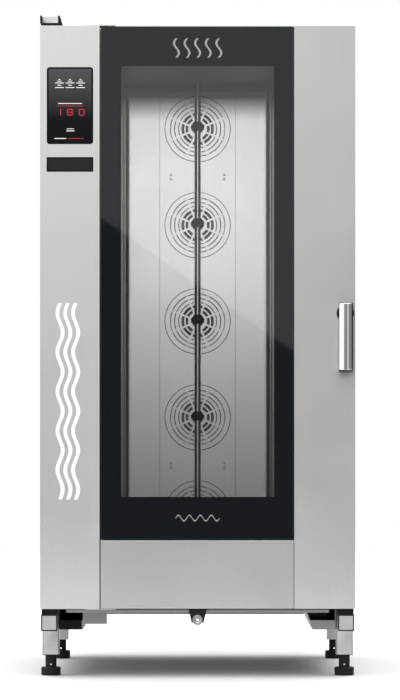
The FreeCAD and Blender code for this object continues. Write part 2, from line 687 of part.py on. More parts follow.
collar_outline = [
    ("collar_left + collar_wall", "casing_top"),
    ("chimney_right + collar_wall + collar_flare", "casing_top"),
    ("chimney_right + collar_wall", "casing_top + chimney_height"),
    ("chimney_right + collar_fit", "casing_top + chimney_height"),
    ("chimney_right + collar_fit", "casing_top + collar_band"),
    ("chimney_left - collar_fit", "casing_top + collar_band"),
    ("chimney_left - collar_fit", "casing_top + chimney_height"),
    ("collar_left", "casing_top + chimney_height"),
    ("collar_left", "casing_top + collar_band"),
]
collar_body = prism("collar_body", collar_outline,
                    ("front + collar_inset", "front + collar_inset + collar_depth"))
collar_hole = box("collar_hole", ("chimney_left - collar_fit", "chimney_right + collar_fit"),
                  ("chimney_front - collar_fit", "chimney_back + collar_fit"),
                  ("casing_top", "casing_top + collar_band"))
piece("chimney_seal", cut("collar", collar_body, [collar_hole]))

# ---- cooking chamber ----
mouth_x = ("chamber_left", "chamber_right")
mouth_z = ("chamber_bottom", "chamber_top")
frame_plate = box("frame_plate", ("column_edge - sheet_metal", "inner_side"), ("frame_front", "frame_back"),
                  ("inner_bottom", "inner_top"))
frame_flange = box("frame_flange", ("column_edge - sheet_metal", "column_edge"),
                   ("column_back", "frame_front"), ("inner_bottom", "inner_top"))
mouth = box("mouth", mouth_x, ("frame_front", "frame_back"), mouth_z)
strike_x = ("handle_x - cam_length - strike_clearance", "handle_x + strike_side")
strike_z = ("handle_z - cam_length - strike_clearance", "handle_z + strike_side")
strike_hole = box("strike_hole", strike_x, ("frame_front", "frame_back"), strike_z)
piece("front_frame", cut("front_frame_cut", fuse("frame_blank", [frame_plate, frame_flange]),
                         [mouth, strike_hole]))

shell_z = ("chamber_bottom - sheet_metal", "chamber_top + sheet_metal")
shell_x = ("chamber_left - sheet_metal", "chamber_right + sheet_metal")
piece("chamber_left_wall", box("left_wall", (shell_x[0], "chamber_left"), ("frame_back", "chamber_back"), mouth_z))
piece("chamber_right_wall", box("right_wall", ("chamber_right", shell_x[1]), ("frame_back", "chamber_back"), mouth_z))
piece("chamber_ceiling", box("ceiling", shell_x, ("frame_back", "chamber_back"), ("chamber_top", shell_z[1])))
floor_plate = box("floor_plate", shell_x, ("frame_back", "chamber_back"), (shell_z[0], "chamber_bottom"))
floor_drain = rod("floor_drain", "floor_drain_radius", "Z", "chamber_mid", "drain_y", (shell_z[0], "chamber_bottom"))
piece("chamber_floor", cut("floor", floor_plate, [floor_drain]))


def shaft_holes(name, low, high):
    """One hole per fan for its shaft, from low to high along Y."""
    return [
        rod("%s_%d" % (name, n), "shaft_radius + shaft_clearance", "Y", "chamber_mid", (low, high), fan_z(n))
        for n in fan_numbers
    ]


# Studs on the rear wall carry the fan panel at its screws and each air baffle near its ends.
rear_wall_y = ("chamber_back", "chamber_back + sheet_metal")
screw_places = [
    ("chamber_mid %s screw_offset" % sign, "%s - fan_pitch / 2 + %s * screw_spacing" % (fan_z(n), step))
    for n in (fan_numbers[0], fan_numbers[-2])
    for sign in "-+"
    for step in (-0.5, 0.5)
]
baffle_places = [
    ("chamber_mid %s (fan_panel_width / 2 + stud_inset)" % sign, height)
    for sign in "-+"
    for height in ("panel_bottom + 2 * stud_inset", "panel_top - 2 * stud_inset")
]
studs = [
    rod("stud_%d" % i, "stud_radius", "Y", x, ("fan_plane + sheet_metal", "chamber_back"), z)
    for i, (x, z) in enumerate(screw_places + baffle_places, start=1)
]
rear_wall_solid = fuse("rear_wall_solid", [box("rear_wall_plate", shell_x, rear_wall_y, shell_z)] + studs)
piece("chamber_rear_wall", cut("rear_wall", rear_wall_solid, shaft_holes("wall_hole", *rear_wall_y)))

jacket_inner_x = (shell_x[0] + " - insulation_gap", shell_x[1] + " + insulation_gap")
jacket_inner_z = (shell_z[0] + " - insulation_gap", shell_z[1] + " + insulation_gap")
jacket_inner_y = ("frame_back", "chamber_back + sheet_metal")
jacket_blank = box("jacket_blank",
                   (jacket_inner_x[0] + " - insulation_side", jacket_inner_x[1] + " + insulation_side"),
                   (jacket_inner_y[0], "insulation_back"),
                   (jacket_inner_z[0] + " - insulation_side", jacket_inner_z[1] + " + insulation_side"))
jacket_hollow = box("jacket_hollow", jacket_inner_x, jacket_inner_y, jacket_inner_z)
jacket_drain = rod("jacket_drain", "drain_radius + 2 * insulation_gap", "Z", "chamber_mid", "drain_y",
                   (jacket_inner_z[0] + " - insulation_side", jacket_inner_z[0]))
piece("insulation_jacket", cut("jacket", jacket_blank,
                               [jacket_hollow, jacket_drain] + shaft_holes(
                                   "jacket_hole", jacket_inner_y[1], "insulation_back")))

# ---- fan panel, baffles and guards ----
panel_y = ("fan_plane", "fan_plane + sheet_metal")
panel_z = ("panel_bottom", "panel_top")
panel_plate = box("panel_plate", ("chamber_mid - fan_panel_width / 2", "chamber_mid + fan_panel_width / 2"),
                  panel_y, panel_z)
panel_holes = [rod("panel_hole_%d" % n, "fan_hole_radius", "Y", "chamber_mid", panel_y, fan_z(n))
               for n in fan_numbers]
piece("fan_panel", cut("panel", panel_plate, panel_holes))


def air_baffle(name, sign, start_angle):
    """A sheet from beside the fan panel, round the chamber's rear corner and forward along its side."""
    reach = "(chamber_width / 2 - baffle_clear)"
    bend = "(%s - sheet_metal - baffle_corner)" % reach
    inner_edge = "(fan_panel_width / 2 + panel_seam_gap)"
    bend_y = "fan_plane - baffle_corner"

    def span(near, far):
        ends = ("chamber_mid %s %s" % (sign, near), "chamber_mid %s %s" % (sign, far))
        return ends if sign == "+" else (ends[1], ends[0])

    flat = box(name + "_flat", span(inner_edge, bend), panel_y, panel_z)
    straight = box(name + "_straight", span("(%s - sheet_metal)" % reach, reach),
                   (bend_y + " - baffle_forward", bend_y), panel_z)
    quarters = []
    for part, radius in (("outer", "baffle_corner + sheet_metal"), ("inner", "baffle_corner")):
        quarter = rod("%s_%s" % (name, part), radius, "Z", "chamber_mid %s %s" % (sign, bend), bend_y, panel_z)
        quarter.Placement = FreeCAD.Placement(
            quarter.Placement.Base, FreeCAD.Rotation(FreeCAD.Vector(0, 0, 1), start_angle))
        quarter.Angle = 90
        quarters.append(quarter)
    return fuse(name, [flat, cut(name + "_bend", quarters[0], [quarters[1]]), straight])


piece("left_air_baffle", air_baffle("left_baffle", "-", 90))
piece("right_air_baffle", air_baffle("right_baffle", "+", 0))


def guard_shape():
    """A round grille: rings of slots cut through a disc, with straight ribs left across them."""
    thickness = size("guard_thickness")
    backwards = FreeCAD.Vector(0, 1, 0)
    disc = Part.makeCylinder(size("guard_radius"), thickness, FreeCAD.Vector(), backwards)
    rings = []
    for ring in range(guard_slot_rings):
        middle = size("guard_slot_first") + ring * size("guard_slot_pitch")
        half = size("guard_wide_slot" if ring < guard_wide_rings else "guard_thin_slot") / 2
        outer = Part.makeCylinder(middle + half, thickness, FreeCAD.Vector(), backwards)
        rings.append(outer.cut(Part.makeCylinder(middle - half, thickness, FreeCAD.Vector(), backwards)))
    slots = rings[0].fuse(rings[1:])
    rib_width = size("guard_rib_width")
    ribs = []
    for rib in range(guard_ribs):
        bar = Part.makeBox(rib_width, thickness, size("guard_radius"), FreeCAD.Vector(-rib_width / 2, 0, 0))
        bar.rotate(FreeCAD.Vector(), backwards, (rib + 0.5) * 360 / guard_ribs)
        ribs.append(bar)
    return disc.cut(slots.cut(ribs[0].fuse(ribs[1:])))


def at_each_fan(name, shape):
    """Copies of a shape made about the origin, one in front of each fan, as one sub-part."""
    copies = []
    for n in fan_numbers:
        copy = shape.copy()
        copy.translate(FreeCAD.Vector(0, 0, -(n - 1) * size("fan_pitch")))
        copies.append(copy)
    item = doc.addObject("Part::Feature", name)
    item.Shape = Part.makeCompound(copies)
    return item


piece("fan_guards", place(at_each_fan("guards", guard_shape()),
                          "chamber_mid", "fan_plane - guard_thickness", "fan_top_z"))

# ---- impellers, heaters and motors ----


def impeller_shape():
    """Back plate, hub, straight tilted blades, front ring and shaft. The back plate is at y = 0."""
    backwards = FreeCAD.Vector(0, 1, 0)
    metal = size("impeller_sheet")
    depth = size("impeller_depth")
    radius = size("impeller_radius")
    plate = Part.makeCylinder(radius, metal, FreeCAD.Vector(0, -metal, 0), backwards)
    hub_depth = size("impeller_hub_depth")
    hub = Part.makeCylinder(size("impeller_hub_radius"), hub_depth, FreeCAD.Vector(0, -hub_depth, 0), backwards)
    ring = Part.makeCylinder(radius, metal, FreeCAD.Vector(0, -depth, 0), backwards)
    ring = ring.cut(Part.makeCylinder(size("shroud_inner_radius"), metal, FreeCAD.Vector(0, -depth, 0), backwards))
    shaft = Part.makeCylinder(size("shaft_radius"), number(shaft_length), FreeCAD.Vector(), backwards)
    blades = []
    inner = size("blade_inner_radius")
    for blade in range(blade_count):
        sheet_blade = Part.makeBox(metal, depth - metal, radius - metal - inner,
                                   FreeCAD.Vector(-metal / 2, metal / 2 - depth, inner))
        sheet_blade.rotate(FreeCAD.Vector(0, 0, inner), backwards, blade_tilt)
        sheet_blade.rotate(FreeCAD.Vector(), backwards, blade * 360 / blade_count)
        blades.append(sheet_blade)
    rim = Part.makeCylinder(radius, depth, FreeCAD.Vector(0, -depth, 0), backwards)
    blades = [blade.common(rim) for blade in blades]
    return plate.fuse([hub, ring, shaft] + blades).removeSplitter()


blade_tilt = 25
impeller_back = "fan_plane + sheet_metal + impeller_gap + impeller_depth"
shaft_length = "insulation_back + shaft_in_motor - (%s)" % impeller_back
one_impeller = impeller_shape()
for n in fan_numbers:
    impeller = doc.addObject("Part::Feature", "impeller_%d" % n)
    impeller.Shape = one_impeller.copy()
    place(impeller, "chamber_mid", impeller_back, fan_z(n))
    piece("fan_impeller_%d" % n, impeller)

heaters = []
for n in fan_numbers:
    for turn in range(2):
        ring = doc.addObject("Part::Torus", "heater_%d_%d" % (n, turn))
        ring.setExpression("Radius1", formula("heater_radius"))
        ring.setExpression("Radius2", formula("heater_tube"))
        ring.Placement = FreeCAD.Placement(FreeCAD.Vector(), turn_to["Y"])
        ring_y = "fan_plane + sheet_metal + impeller_gap + %d * heater_pitch + heater_pitch / 2" % turn
        place(ring, "chamber_mid", ring_y, fan_z(n))
        leg = rod("heater_leg_%d_%d" % (n, turn), "heater_tube - 2 * seam", "Y",
                  "chamber_mid %s heater_radius" % "+-"[turn], (ring_y, "chamber_back"), fan_z(n))
        heaters += [ring, leg]
piece("ring_heaters", fuse("heaters", heaters))

motors = []
for n in fan_numbers:
    can = rod("motor_can_%d" % n, "motor_radius", "Y", "chamber_mid",
              ("insulation_back", "inner_rear - motor_gap"), fan_z(n))
    flange = rod("motor_flange_%d" % n, "motor_flange_radius", "Y", "chamber_mid",
                 ("insulation_back", "insulation_back + motor_flange"), fan_z(n))
    bore = rod("motor_bore_%d" % n, "shaft_radius + shaft_bore_clearance", "Y", "chamber_mid",
               ("insulation_back", "insulation_back + shaft_in_motor + seam"), fan_z(n))
    motors.append(cut("motor_%d" % n, fuse("motor_solid_%d" % n, [can, flange]), [bore]))
piece("fan_motors", fuse("motors", motors))

# ---- spray tube and nozzles ----
spray_z = ("spray_bottom", "chamber_top")
spray_blank = rod("spray_blank", "spray_radius", "Z", "chamber_mid", "spray_y", spray_z)
spray_hollow = rod("spray_hollow", "spray_radius - spray_wall", "Z", "chamber_mid", "spray_y",
                   ("spray_bottom + spray_wall", "chamber_top"))
piece("spray_tube", cut("spray", spray_blank, [spray_hollow]))

nozzles = []
for n in fan_numbers:
    nozzle = revolved("nozzle_%d" % n, [
        ("spray_radius + nozzle_fit", "-nozzle_half"),
        ("nozzle_neck", "-nozzle_half"),
        ("nozzle_radius", "-nozzle_rim / 2"),
        ("nozzle_radius", "nozzle_rim / 2"),
        ("nozzle_neck", "nozzle_half"),
        ("spray_radius + nozzle_fit", "nozzle_half"),
    ])
    nozzles.append(place(nozzle, "chamber_mid", "spray_y", fan_z(n) + " + nozzle_rise"))
piece("spray_nozzles", fuse("nozzles", nozzles))

# Screws between the two upper fans and between the two lower ones, two each side of the middle.
screws = [
    rod("panel_screw_%d" % i, "screw_radius", "Y", x, ("fan_plane - screw_head", "fan_plane"), z)
    for i, (x, z) in enumerate(screw_places, start=1)
]
piece("panel_screws", fuse("screws", screws))

# ---- door ----
frame_x = ("tray_left", "tray_right")
frame_z = ("tray_bottom", "tray_top")
tray_blank = box("tray_blank", frame_x, ("tray_front", "door_back"), frame_z)
tray_hollow = box("tray_hollow", ("tray_left + sheet_metal", "tray_right - sheet_metal"),
                  ("tray_front", "door_back - sheet_metal"),
                  ("tray_bottom + sheet_metal", "tray_top - sheet_metal"))
opening_x = ("opening_left", "opening_right")
opening_z = ("opening_bottom", "opening_top")
sleeve = box("sleeve", ("opening_left - sheet_metal", "opening_right + sheet_metal"),
             ("tray_front", "door_back - sheet_metal"),
             ("opening_bottom - sheet_metal", "opening_top + sheet_metal"))
block_x = ("hinge_x - hinge_block_width / 2", "hinge_x + hinge_block_width / 2")
block_y = ("tray_front", "tray_front + hinge_block_depth")
blocks = [
    box("upper_block", block_x, block_y, ("tray_top - hinge_block_height", "tray_top")),
    box("lower_block", block_x, block_y, ("tray_bottom", "tray_bottom + hinge_block_height")),
]
opening = box("door_opening", opening_x, ("tray_front", "door_back"), opening_z)
seat = "bush_radius + bush_seat"
bush_seats = [
    rod("upper_seat", seat, "Z", "hinge_x", "hinge_y", ("tray_top - hinge_block_height", "tray_top")),
    rod("lower_seat", seat, "Z", "hinge_x", "hinge_y", ("tray_bottom", "tray_bottom + hinge_block_height")),
]
spindle_hole = rod("spindle_hole", "spindle_radius + spindle_clearance", "Y", "handle_x",
                   ("front", "door_back"), "handle_z")
tray = fuse("tray", [cut("tray_shell", tray_blank, [tray_hollow]), sleeve] + blocks)
piece("door_frame", cut("door_frame_cut", tray, [opening, spindle_hole] + bush_seats))

piece("door_outer_glass", box("outer_pane", ("door_left", "glass_right"), ("front", "tray_front"),
                              ("glass_bottom", "door_top")))
piece("door_inner_glass", box(
    "inner_pane", ("opening_left + seam", "opening_right - seam"),
    ("door_back - inner_glass_setback - inner_glass", "door_back - inner_glass_setback"),
    ("opening_bottom + seam", "opening_top - seam")))

# Right skin: front, outer side, top and bottom, and a shallow hem beside the glass.
hem_y = ("front", "tray_front")
return_y = ("front", "front + skin_return")
right_x = ("right_skin_left", "side")
right_solids = [
    box("right_front", right_x, ("front", "front + sheet_metal"), ("door_bottom", "door_top")),
    box("right_edge", ("inner_side", "side"), return_y, ("door_bottom", "door_top")),
    box("right_head", right_x, return_y, ("door_top - sheet_metal", "door_top")),
    box("right_foot", right_x, return_y, ("door_bottom", "door_bottom + sheet_metal")),
    box("right_hem", ("right_skin_left", "right_skin_left + sheet_metal"), hem_y, ("door_bottom", "door_top")),
]
right_hole = rod("right_hole", "spindle_radius + spindle_clearance", "Y", "handle_x",
                 ("front", "front + skin_return"), "handle_z")
piece("door_right_skin", cut("right_skin", fuse("right_skin_solid", right_solids), [right_hole]))

lower_x = ("door_left", "glass_right")
lower_solids = [
    box("lower_front", lower_x, ("front", "front + sheet_metal"), ("door_bottom", "lower_skin_top")),
    box("lower_edge", ("door_left", "door_left + sheet_metal"), return_y, ("door_bottom", "lower_skin_top")),
    box("lower_foot", lower_x, return_y, ("door_bottom", "door_bottom + sheet_metal")),
    box("lower_head", lower_x, hem_y, ("lower_skin_top - sheet_metal", "lower_skin_top")),
    box("lower_hem", ("glass_right - sheet_metal", "glass_right"), hem_y, ("door_bottom", "lower_skin_top")),
]
lower_hole = rod("lower_hole", seat + " + seam", "Z", "hinge_x", "hinge_y",
                 ("door_bottom", "door_bottom + sheet_metal"))
piece("door_lower_skin", cut("lower_skin", fuse("lower_skin_solid", lower_solids), [lower_hole]))

gasket_y = ("door_back", "frame_front - gasket_gap")
gasket_blank = box(
    "gasket_blank",
    ("chamber_left - gasket_inset - gasket_width", "chamber_right + gasket_inset + gasket_width"), gasket_y,
    ("chamber_bottom - gasket_inset - gasket_width", "chamber_top + gasket_inset + gasket_width"))
gasket_hollow = box("gasket_hollow", ("chamber_left - gasket_inset", "chamber_right + gasket_inset"), gasket_y,
                    ("chamber_bottom - gasket_inset", "chamber_top + gasket_inset"))
seal_face = size("frame_front") - size("gasket_gap")
piece("door_gasket", rounded("gasket", cut("gasket_ring", gasket_blank, [gasket_hollow]), "gasket_round",
                             lambda edge: abs(edge.CenterOfMass.y - seal_face) < 0.01))

lamp_y = ("front + lamp_setback", "front + lamp_setback + lamp_depth")
lamp_z = ("opening_bottom + lamp_end_gap", "opening_top - lamp_end_gap")
piece("door_lamps", fuse("lamps", [
    box("left_lamp", ("opening_left", "opening_left + lamp_width"), lamp_y, lamp_z),
    box("right_lamp", ("opening_right - lamp_width", "opening_right"), lamp_y, lamp_z),
]))

# ---- hinges ----
bush_z = {
    "upper": ("tray_top - hinge_pin_length", "tray_top"),
    "lower": ("casing_bottom + skin_clearance", "tray_bottom + hinge_pin_length"),
}
bushes = [
    cut("%s_bush" % end,
        rod("%s_bush_blank" % end, "bush_radius", "Z", "hinge_x", "hinge_y", span),
        [rod("%s_bush_bore" % end, "bush_bore", "Z", "hinge_x", "hinge_y", span)])
    for end, span in bush_z.items()
]
piece("hinge_bushes", fuse("bushes", bushes))

plate_x = ("column_edge - hinge_plate_grip", "hinge_x + hinge_plate_reach")
plate_y = ("front + hinge_plate_inset", "front + hinge_plate_inset + hinge_plate_depth")
piece("hinge_plates", fuse("hinges", [
    box("upper_plate", plate_x, plate_y, ("casing_top", "casing_top + hinge_plate")),
    rod("upper_pin", "hinge_pin_radius", "Z", "hinge_x", "hinge_y", ("casing_top - hinge_pin_length", "casing_top")),
    box("lower_plate", plate_x, plate_y, ("casing_bottom - hinge_plate", "casing_bottom")),
    rod("lower_pin", "hinge_pin_radius", "Z", "hinge_x", "hinge_y",
        ("casing_bottom", "casing_bottom + hinge_pin_length")),
]))

# ---- handle: drawn about its own axis, on the plane of the door face ----
lever = doc.addObject("PartDesign::Body", "lever")
lever_sketch = sketch_on(lever, "lever_outline", "XZ_Plane", "handle_reach - lever_thickness")
draw_rectangle(lever_sketch, ("-lever_width / 2", "lever_width / 2"), ("-lever_below", "lever_above"))
lever_pad = pad(lever, "lever_pad", lever_sketch, "lever_thickness")
doc.recompute()
lever_edges = lever.newObject("PartDesign::Fillet", "lever_edges")
lever_edges.Base = (lever_pad, ["Edge%d" % (i + 1) for i in range(len(lever_pad.Shape.Edges))])
lever_edges.setExpression("Radius", formula("lever_round"))
neck_sketch = sketch_on(lever, "neck_outline", "XZ_Plane", "boss_height + boss_gap")
draw_circle(neck_sketch, 0, 0, "neck_radius")
doc.recompute()
pad(lever, "neck_pad", neck_sketch, "handle_reach - lever_thickness / 2 - boss_height - boss_gap")
piece("handle_lever", place(lever, "handle_x", "front", "handle_z"))

cam_y = ("frame_front + cam_setback", "frame_front + cam_setback + cam_thickness")
piece("handle_spindle", fuse("spindle", [
    rod("boss", "boss_radius", "Y", "handle_x", ("front - boss_gap - boss_height", "front - boss_gap"), "handle_z"),
    rod("spindle_rod", "spindle_radius", "Y", "handle_x", ("front - boss_gap", cam_y[1]), "handle_z"),
    box("cam", ("handle_x - cam_width / 2", "handle_x + cam_width / 2"), cam_y, ("handle_z - cam_length", "handle_z")),
]))

strike_blank = box("strike_blank", (strike_x[0] + " - strike_wall", strike_x[1] + " + strike_wall"),
                   ("frame_back", "frame_back + strike_depth"),
                   (strike_z[0] + " - strike_wall", strike_z[1] + " + strike_wall"))
strike_hollow = box("strike_hollow", strike_x, ("frame_back", "frame_back + strike_depth - strike_wall"), strike_z)
piece("latch_keeper", cut("strike", strike_blank, [strike_hollow]))

# ---- under frame: two rails, a rear crossmember and four legs, all welded tubes ----
rail_y = ("front + rail_front_inset", "rear - rail_rear_inset")
half_tube = "rail_width / 2"
leg_places = {"front": "front + front_leg_inset", "rear": "front + rear_leg_inset"}
solid_tubes = []
tube_hollows = []
for side_name, sign in (("left", "-"), ("right", "+")):
    rail_mid = "0 %s rail_x" % sign
    rail_sides = ("%s - %s" % (rail_mid, half_tube), "%s + %s" % (rail_mid, half_tube))
    inner_sides = (rail_sides[0] + " + rail_wall", rail_sides[1] + " - rail_wall")
    solid_tubes.append(box(side_name + "_rail", rail_sides, rail_y, ("rail_bottom", "rail_top")))
    tube_hollows.append(box(side_name + "_rail_hollow", inner_sides, (rail_y[0] + " + rail_wall", rail_y[1]),
                            ("rail_bottom + rail_wall", "rail_top - rail_wall")))
    for end, leg_y in leg_places.items():
        leg_name = "%s_%s_leg" % (side_name, end)
        leg_sides = ("%s - %s" % (leg_y, half_tube), "%s + %s" % (leg_y, half_tube))
        solid_tubes.append(box(leg_name, rail_sides, leg_sides, ("rail_bottom - leg_height", "rail_bottom")))
        tube_hollows.append(box(leg_name + "_hollow", inner_sides,
                                (leg_sides[0] + " + rail_wall", leg_sides[1] + " - rail_wall"),
                                ("rail_bottom - leg_height + nut_plate", "rail_bottom")))
        tube_hollows.append(rod(leg_name + "_bore", "foot_stem_radius + foot_clearance", "Z", rail_mid, leg_y,
                                ("rail_bottom - leg_height", "rail_bottom - leg_height + nut_plate")))
cross_y = ("%s + %s" % (leg_places["rear"], half_tube), "%s + 3 * %s" % (leg_places["rear"], half_tube))
cross_x = ("0 - rail_x + %s" % half_tube, "rail_x - %s" % half_tube)
solid_tubes.append(box("crossmember", cross_x, cross_y, ("rail_bottom", "rail_top")))
tube_hollows.append(box("crossmember_hollow", cross_x, (cross_y[0] + " + rail_wall", cross_y[1] + " - rail_wall"),
                        ("rail_bottom + rail_wall", "rail_top - rail_wall")))
piece("under_frame", cut("frame_weldment", fuse("frame_tubes", solid_tubes), tube_hollows))

pads = []
for side_name, sign in (("left", "-"), ("right", "+")):
    for end, low in (("front", "front + sheet_metal"), ("rear", "rear - 2 * pad_length")):
        pads.append(box("%s_%s_pad" % (side_name, end),
                        ("0 %s rail_x - pad_width / 2" % sign, "0 %s rail_x + pad_width / 2" % sign),
                        (low + " + rail_front_inset", low + " + rail_front_inset + pad_length"),
                        ("rail_top", "casing_bottom")))
piece("frame_pads", fuse("pads", pads))

# ---- levelling feet: a disc and a stem that screws into the leg, with a spanner hole across it ----
stem_top = "foot_disc_height + foot_gap + foot_insert"
for side_name, sign in (("left", "-"), ("right", "+")):
    for end, leg_y in leg_places.items():
        label = "foot_%s_%s" % (end, side_name)
        foot = revolved(label + "_body", [
            ("0", "0"),
            ("foot_disc_radius - foot_chamfer", "0"),
            ("foot_disc_radius", "foot_chamfer"),
            ("foot_disc_radius", "foot_disc_height - foot_chamfer"),
            ("foot_disc_radius - foot_chamfer", "foot_disc_height"),
            ("foot_stem_radius", "foot_disc_height"),
            ("foot_stem_radius", stem_top),
            ("0", stem_top),
        ])
        hole_sketch = sketch_on(foot, label + "_hole_outline", "XZ_Plane", "foot_disc_radius")
        draw_circle(hole_sketch, 0, "foot_hole_rise", "foot_hole_radius")
        doc.recompute()
        hole = foot.newObject("PartDesign::Pocket", label + "_hole")
        hole.Profile = hole_sketch
        hole.setExpression("Length", formula("2 * foot_disc_radius"))
        piece(label, place(foot, "0 %s rail_x" % sign, leg_y))

# ---- under the front edge: drip channel, docking bracket and trolley guides ----
drip_x = ("drip_end_inset - side", "side - drip_end_inset")
drip_y = ("front + drip_inset", "frame_front + drip_overlap")
drip_z = ("casing_bottom - drip_height", "casing_bottom")
drip_blank = box("drip_blank", drip_x, drip_y, drip_z)
drip_hollow = box("drip_hollow", (drip_x[0] + " + drip_sheet", drip_x[1] + " - drip_sheet"),
                  (drip_y[0] + " + drip_sheet", drip_y[1] + " - drip_sheet"),
                  (drip_z[0] + " + drip_sheet", drip_z[1]))
drip_front = box("drip_front", drip_x, (drip_y[0], "frame_front"), ("casing_bottom - drip_lip", "casing_bottom"))
piece("drip_channel", cut("drip", drip_blank, [drip_hollow, drip_front]))

bracket_y = ("front + dock_inset", "front + dock_inset + dock_plate")
bracket = prism("bracket_body", [
    ("0 - dock_top_width / 2", "casing_bottom - drip_lip"),
    ("0 - dock_bottom_width / 2", "dock_z - dock_bush_radius / 2"),
    ("dock_bottom_width / 2", "dock_z - dock_bush_radius / 2"),
    ("dock_top_width / 2", "casing_bottom - drip_lip"),
], bracket_y)
bracket_lug = box("bracket_lug", ("0 - dock_bottom_width / 2", "dock_bottom_width / 2"),
                  (bracket_y[1], drip_y[0]), ("casing_bottom - drip_height", "casing_bottom - drip_lip"))
bush_hole = rod("bracket_hole", "dock_bush_radius", "Y", 0, (bracket_y[0], bracket_y[1]), "dock_z")
piece("dock_bracket", cut("bracket", fuse("bracket_solid", [bracket, bracket_lug]), [bush_hole]))

bush = revolved("dock_bush_body", [
    ("dock_bore_radius + dock_lead_in", "0"),
    ("dock_bush_radius", "0"),
    ("dock_bush_radius", "dock_bush_length"),
    ("dock_bore_radius + dock_lead_in", "dock_bush_length"),
    ("dock_bore_radius", "dock_bush_length - dock_lead_in"),
    ("dock_bore_radius", "dock_lead_in"),
])
bush.Placement = FreeCAD.Placement(FreeCAD.Vector(), turn_to["Y"])
piece("dock_bush", place(bush, 0, "front + dock_inset - seam", "dock_z"))


def trolley_guide(name, sign):
    """A bent sheet: outer wall, floor and slanted inner wall, with a lip in front and a closed back."""
    across = "%s(%%s)" % ("-" if sign == "-" else "")

    def corner(x, z):
        return (across % x, z)

    top = "casing_bottom"
    bottom = "guide_bottom"
    shell = prism(name + "_body", [
        corner("guide_outer", top),
        corner("guide_outer", bottom),
        corner("guide_bottom_inner", bottom),
        corner("guide_top_inner", top),
        corner("guide_top_inner + guide_sheet", top),
        corner("guide_bottom_inner + guide_sheet", bottom + " + guide_sheet"),
        corner("guide_outer - guide_sheet", bottom + " + guide_sheet"),
        corner("guide_outer - guide_sheet", top),
    ], ("guide_front", "guide_front + guide_length"))
    lip = prism(name + "_lip", [
        corner("guide_outer", bottom),
        corner("guide_bottom_inner", bottom),
        corner("guide_bottom_inner - (guide_bottom_inner - guide_top_inner) * guide_lip / guide_height",
               bottom + " + guide_lip"),
        corner("guide_outer", bottom + " + guide_lip"),
    ], ("guide_front", "guide_front + guide_sheet"))
    back = prism(name + "_back", [
        corner("guide_outer", bottom),
        corner("guide_bottom_inner", bottom),
        corner("guide_top_inner", top),
        corner("guide_outer", top),
    ], ("guide_front + guide_length - guide_sheet", "guide_front + guide_length"))
    return [shell, lip, back]


left_stop = box("left_stop", ("-guide_bottom_inner", "-flap_reach"),
                ("guide_front", "guide_front + guide_sheet"),
                ("casing_bottom - flap_top_drop - flap_height", "casing_bottom - flap_top_drop"))
piece("left_trolley_guide", fuse("left_guide", trolley_guide("left_guide", "-") + [left_stop]))
piece("right_trolley_guide", fuse("right_guide", trolley_guide("right_guide", "+")))

# ---- water, drain and power at the rear ----
inlets = []
for number_of_inlet in range(2):
    inlet_x = "%d * inlet_spacing - inlet_offset" % number_of_inlet
    outside = rod("inlet_thread_%d" % number_of_inlet, "inlet_radius", "Y", inlet_x,
                  ("inner_rear", "rear + inlet_length"), "inlet_z")
    inside = rod("inlet_valve_%d" % number_of_inlet, "inlet_body_radius", "Y", inlet_x,
                 ("inner_rear - inlet_body", "inner_rear"), "inlet_z")
    nut = rod("inlet_nut_%d" % number_of_inlet, "inlet_body_radius", "Y", inlet_x,
              ("rear", "rear + inlet_nut"), "inlet_z")
    bore = rod("inlet_bore_%d" % number_of_inlet, "inlet_bore", "Y", inlet_x,
               ("inner_rear", "rear + inlet_length"), "inlet_z")
    body = fuse("inlet_solid_%d" % number_of_inlet, [outside, inside, nut])
    inlets.append(cut("inlet_%d" % number_of_inlet, body, [bore]))
piece("water_inlets", fuse("inlets", inlets))

gland_x = "inlet_spacing + gland_spacing - inlet_offset"
gland_nut = rod("gland_nut", "gland_radius", "Y", gland_x, ("rear", "rear + gland_length"), "inlet_z")
gland_thread = rod("gland_thread", "gland_radius - 5 * seam", "Y", gland_x,
                   ("inner_rear - fascia_return / 2", "rear"), "inlet_z")
gland_hole = rod("gland_hole", "gland_bore", "Y", gland_x,
                 ("inner_rear - fascia_return / 2", "rear + gland_length"), "inlet_z")
piece("cable_gland", cut("gland", fuse("gland_solid", [gland_nut, gland_thread]), [gland_hole]))

# The drain pipe drops from the chamber floor, bends and runs out at the rear.


def pipe_along_drain(radius):
    """A round pipe of this radius: down from the floor, round the elbow and back to its end."""
    floor_z = size("chamber_bottom") - size("sheet_metal")
    level = size("drain_z")
    bend = size("drain_bend")
    across = size("chamber_mid")
    near = size("drain_y")
    start = FreeCAD.Vector(across, near, floor_z)
    turn_start = FreeCAD.Vector(across, near, level + bend)
    turn_end = FreeCAD.Vector(across, near + bend, level)
    half_turn = bend * (1 - math.sqrt(0.5))
    turn_middle = FreeCAD.Vector(across, near + half_turn, level + half_turn)
    end = FreeCAD.Vector(across, size("rear") + size("rear_reach"), level)
    path = Part.Wire([
        Part.LineSegment(start, turn_start).toShape(),
        Part.Arc(turn_start, turn_middle, turn_end).toShape(),
        Part.LineSegment(turn_end, end).toShape(),
    ])
    section = Part.Wire([Part.makeCircle(radius, start, FreeCAD.Vector(0, 0, -1))])
    return path.makePipeShell([section], True, False)


drain = doc.addObject("Part::Feature", "drain")
outlet_end = size("rear") + size("rear_reach")
outlet = Part.makeCylinder(
    size("drain_outlet_radius"), size("drain_outlet_length"),
    FreeCAD.Vector(size("chamber_mid"), outlet_end - size("drain_outlet_length"), size("drain_z")),
    FreeCAD.Vector(0, 1, 0))
drain.Shape = pipe_along_drain(size("drain_radius")).fuse(outlet).cut(
    pipe_along_drain(size("drain_radius") - size("drain_wall")))
piece("drain_pipe", drain)

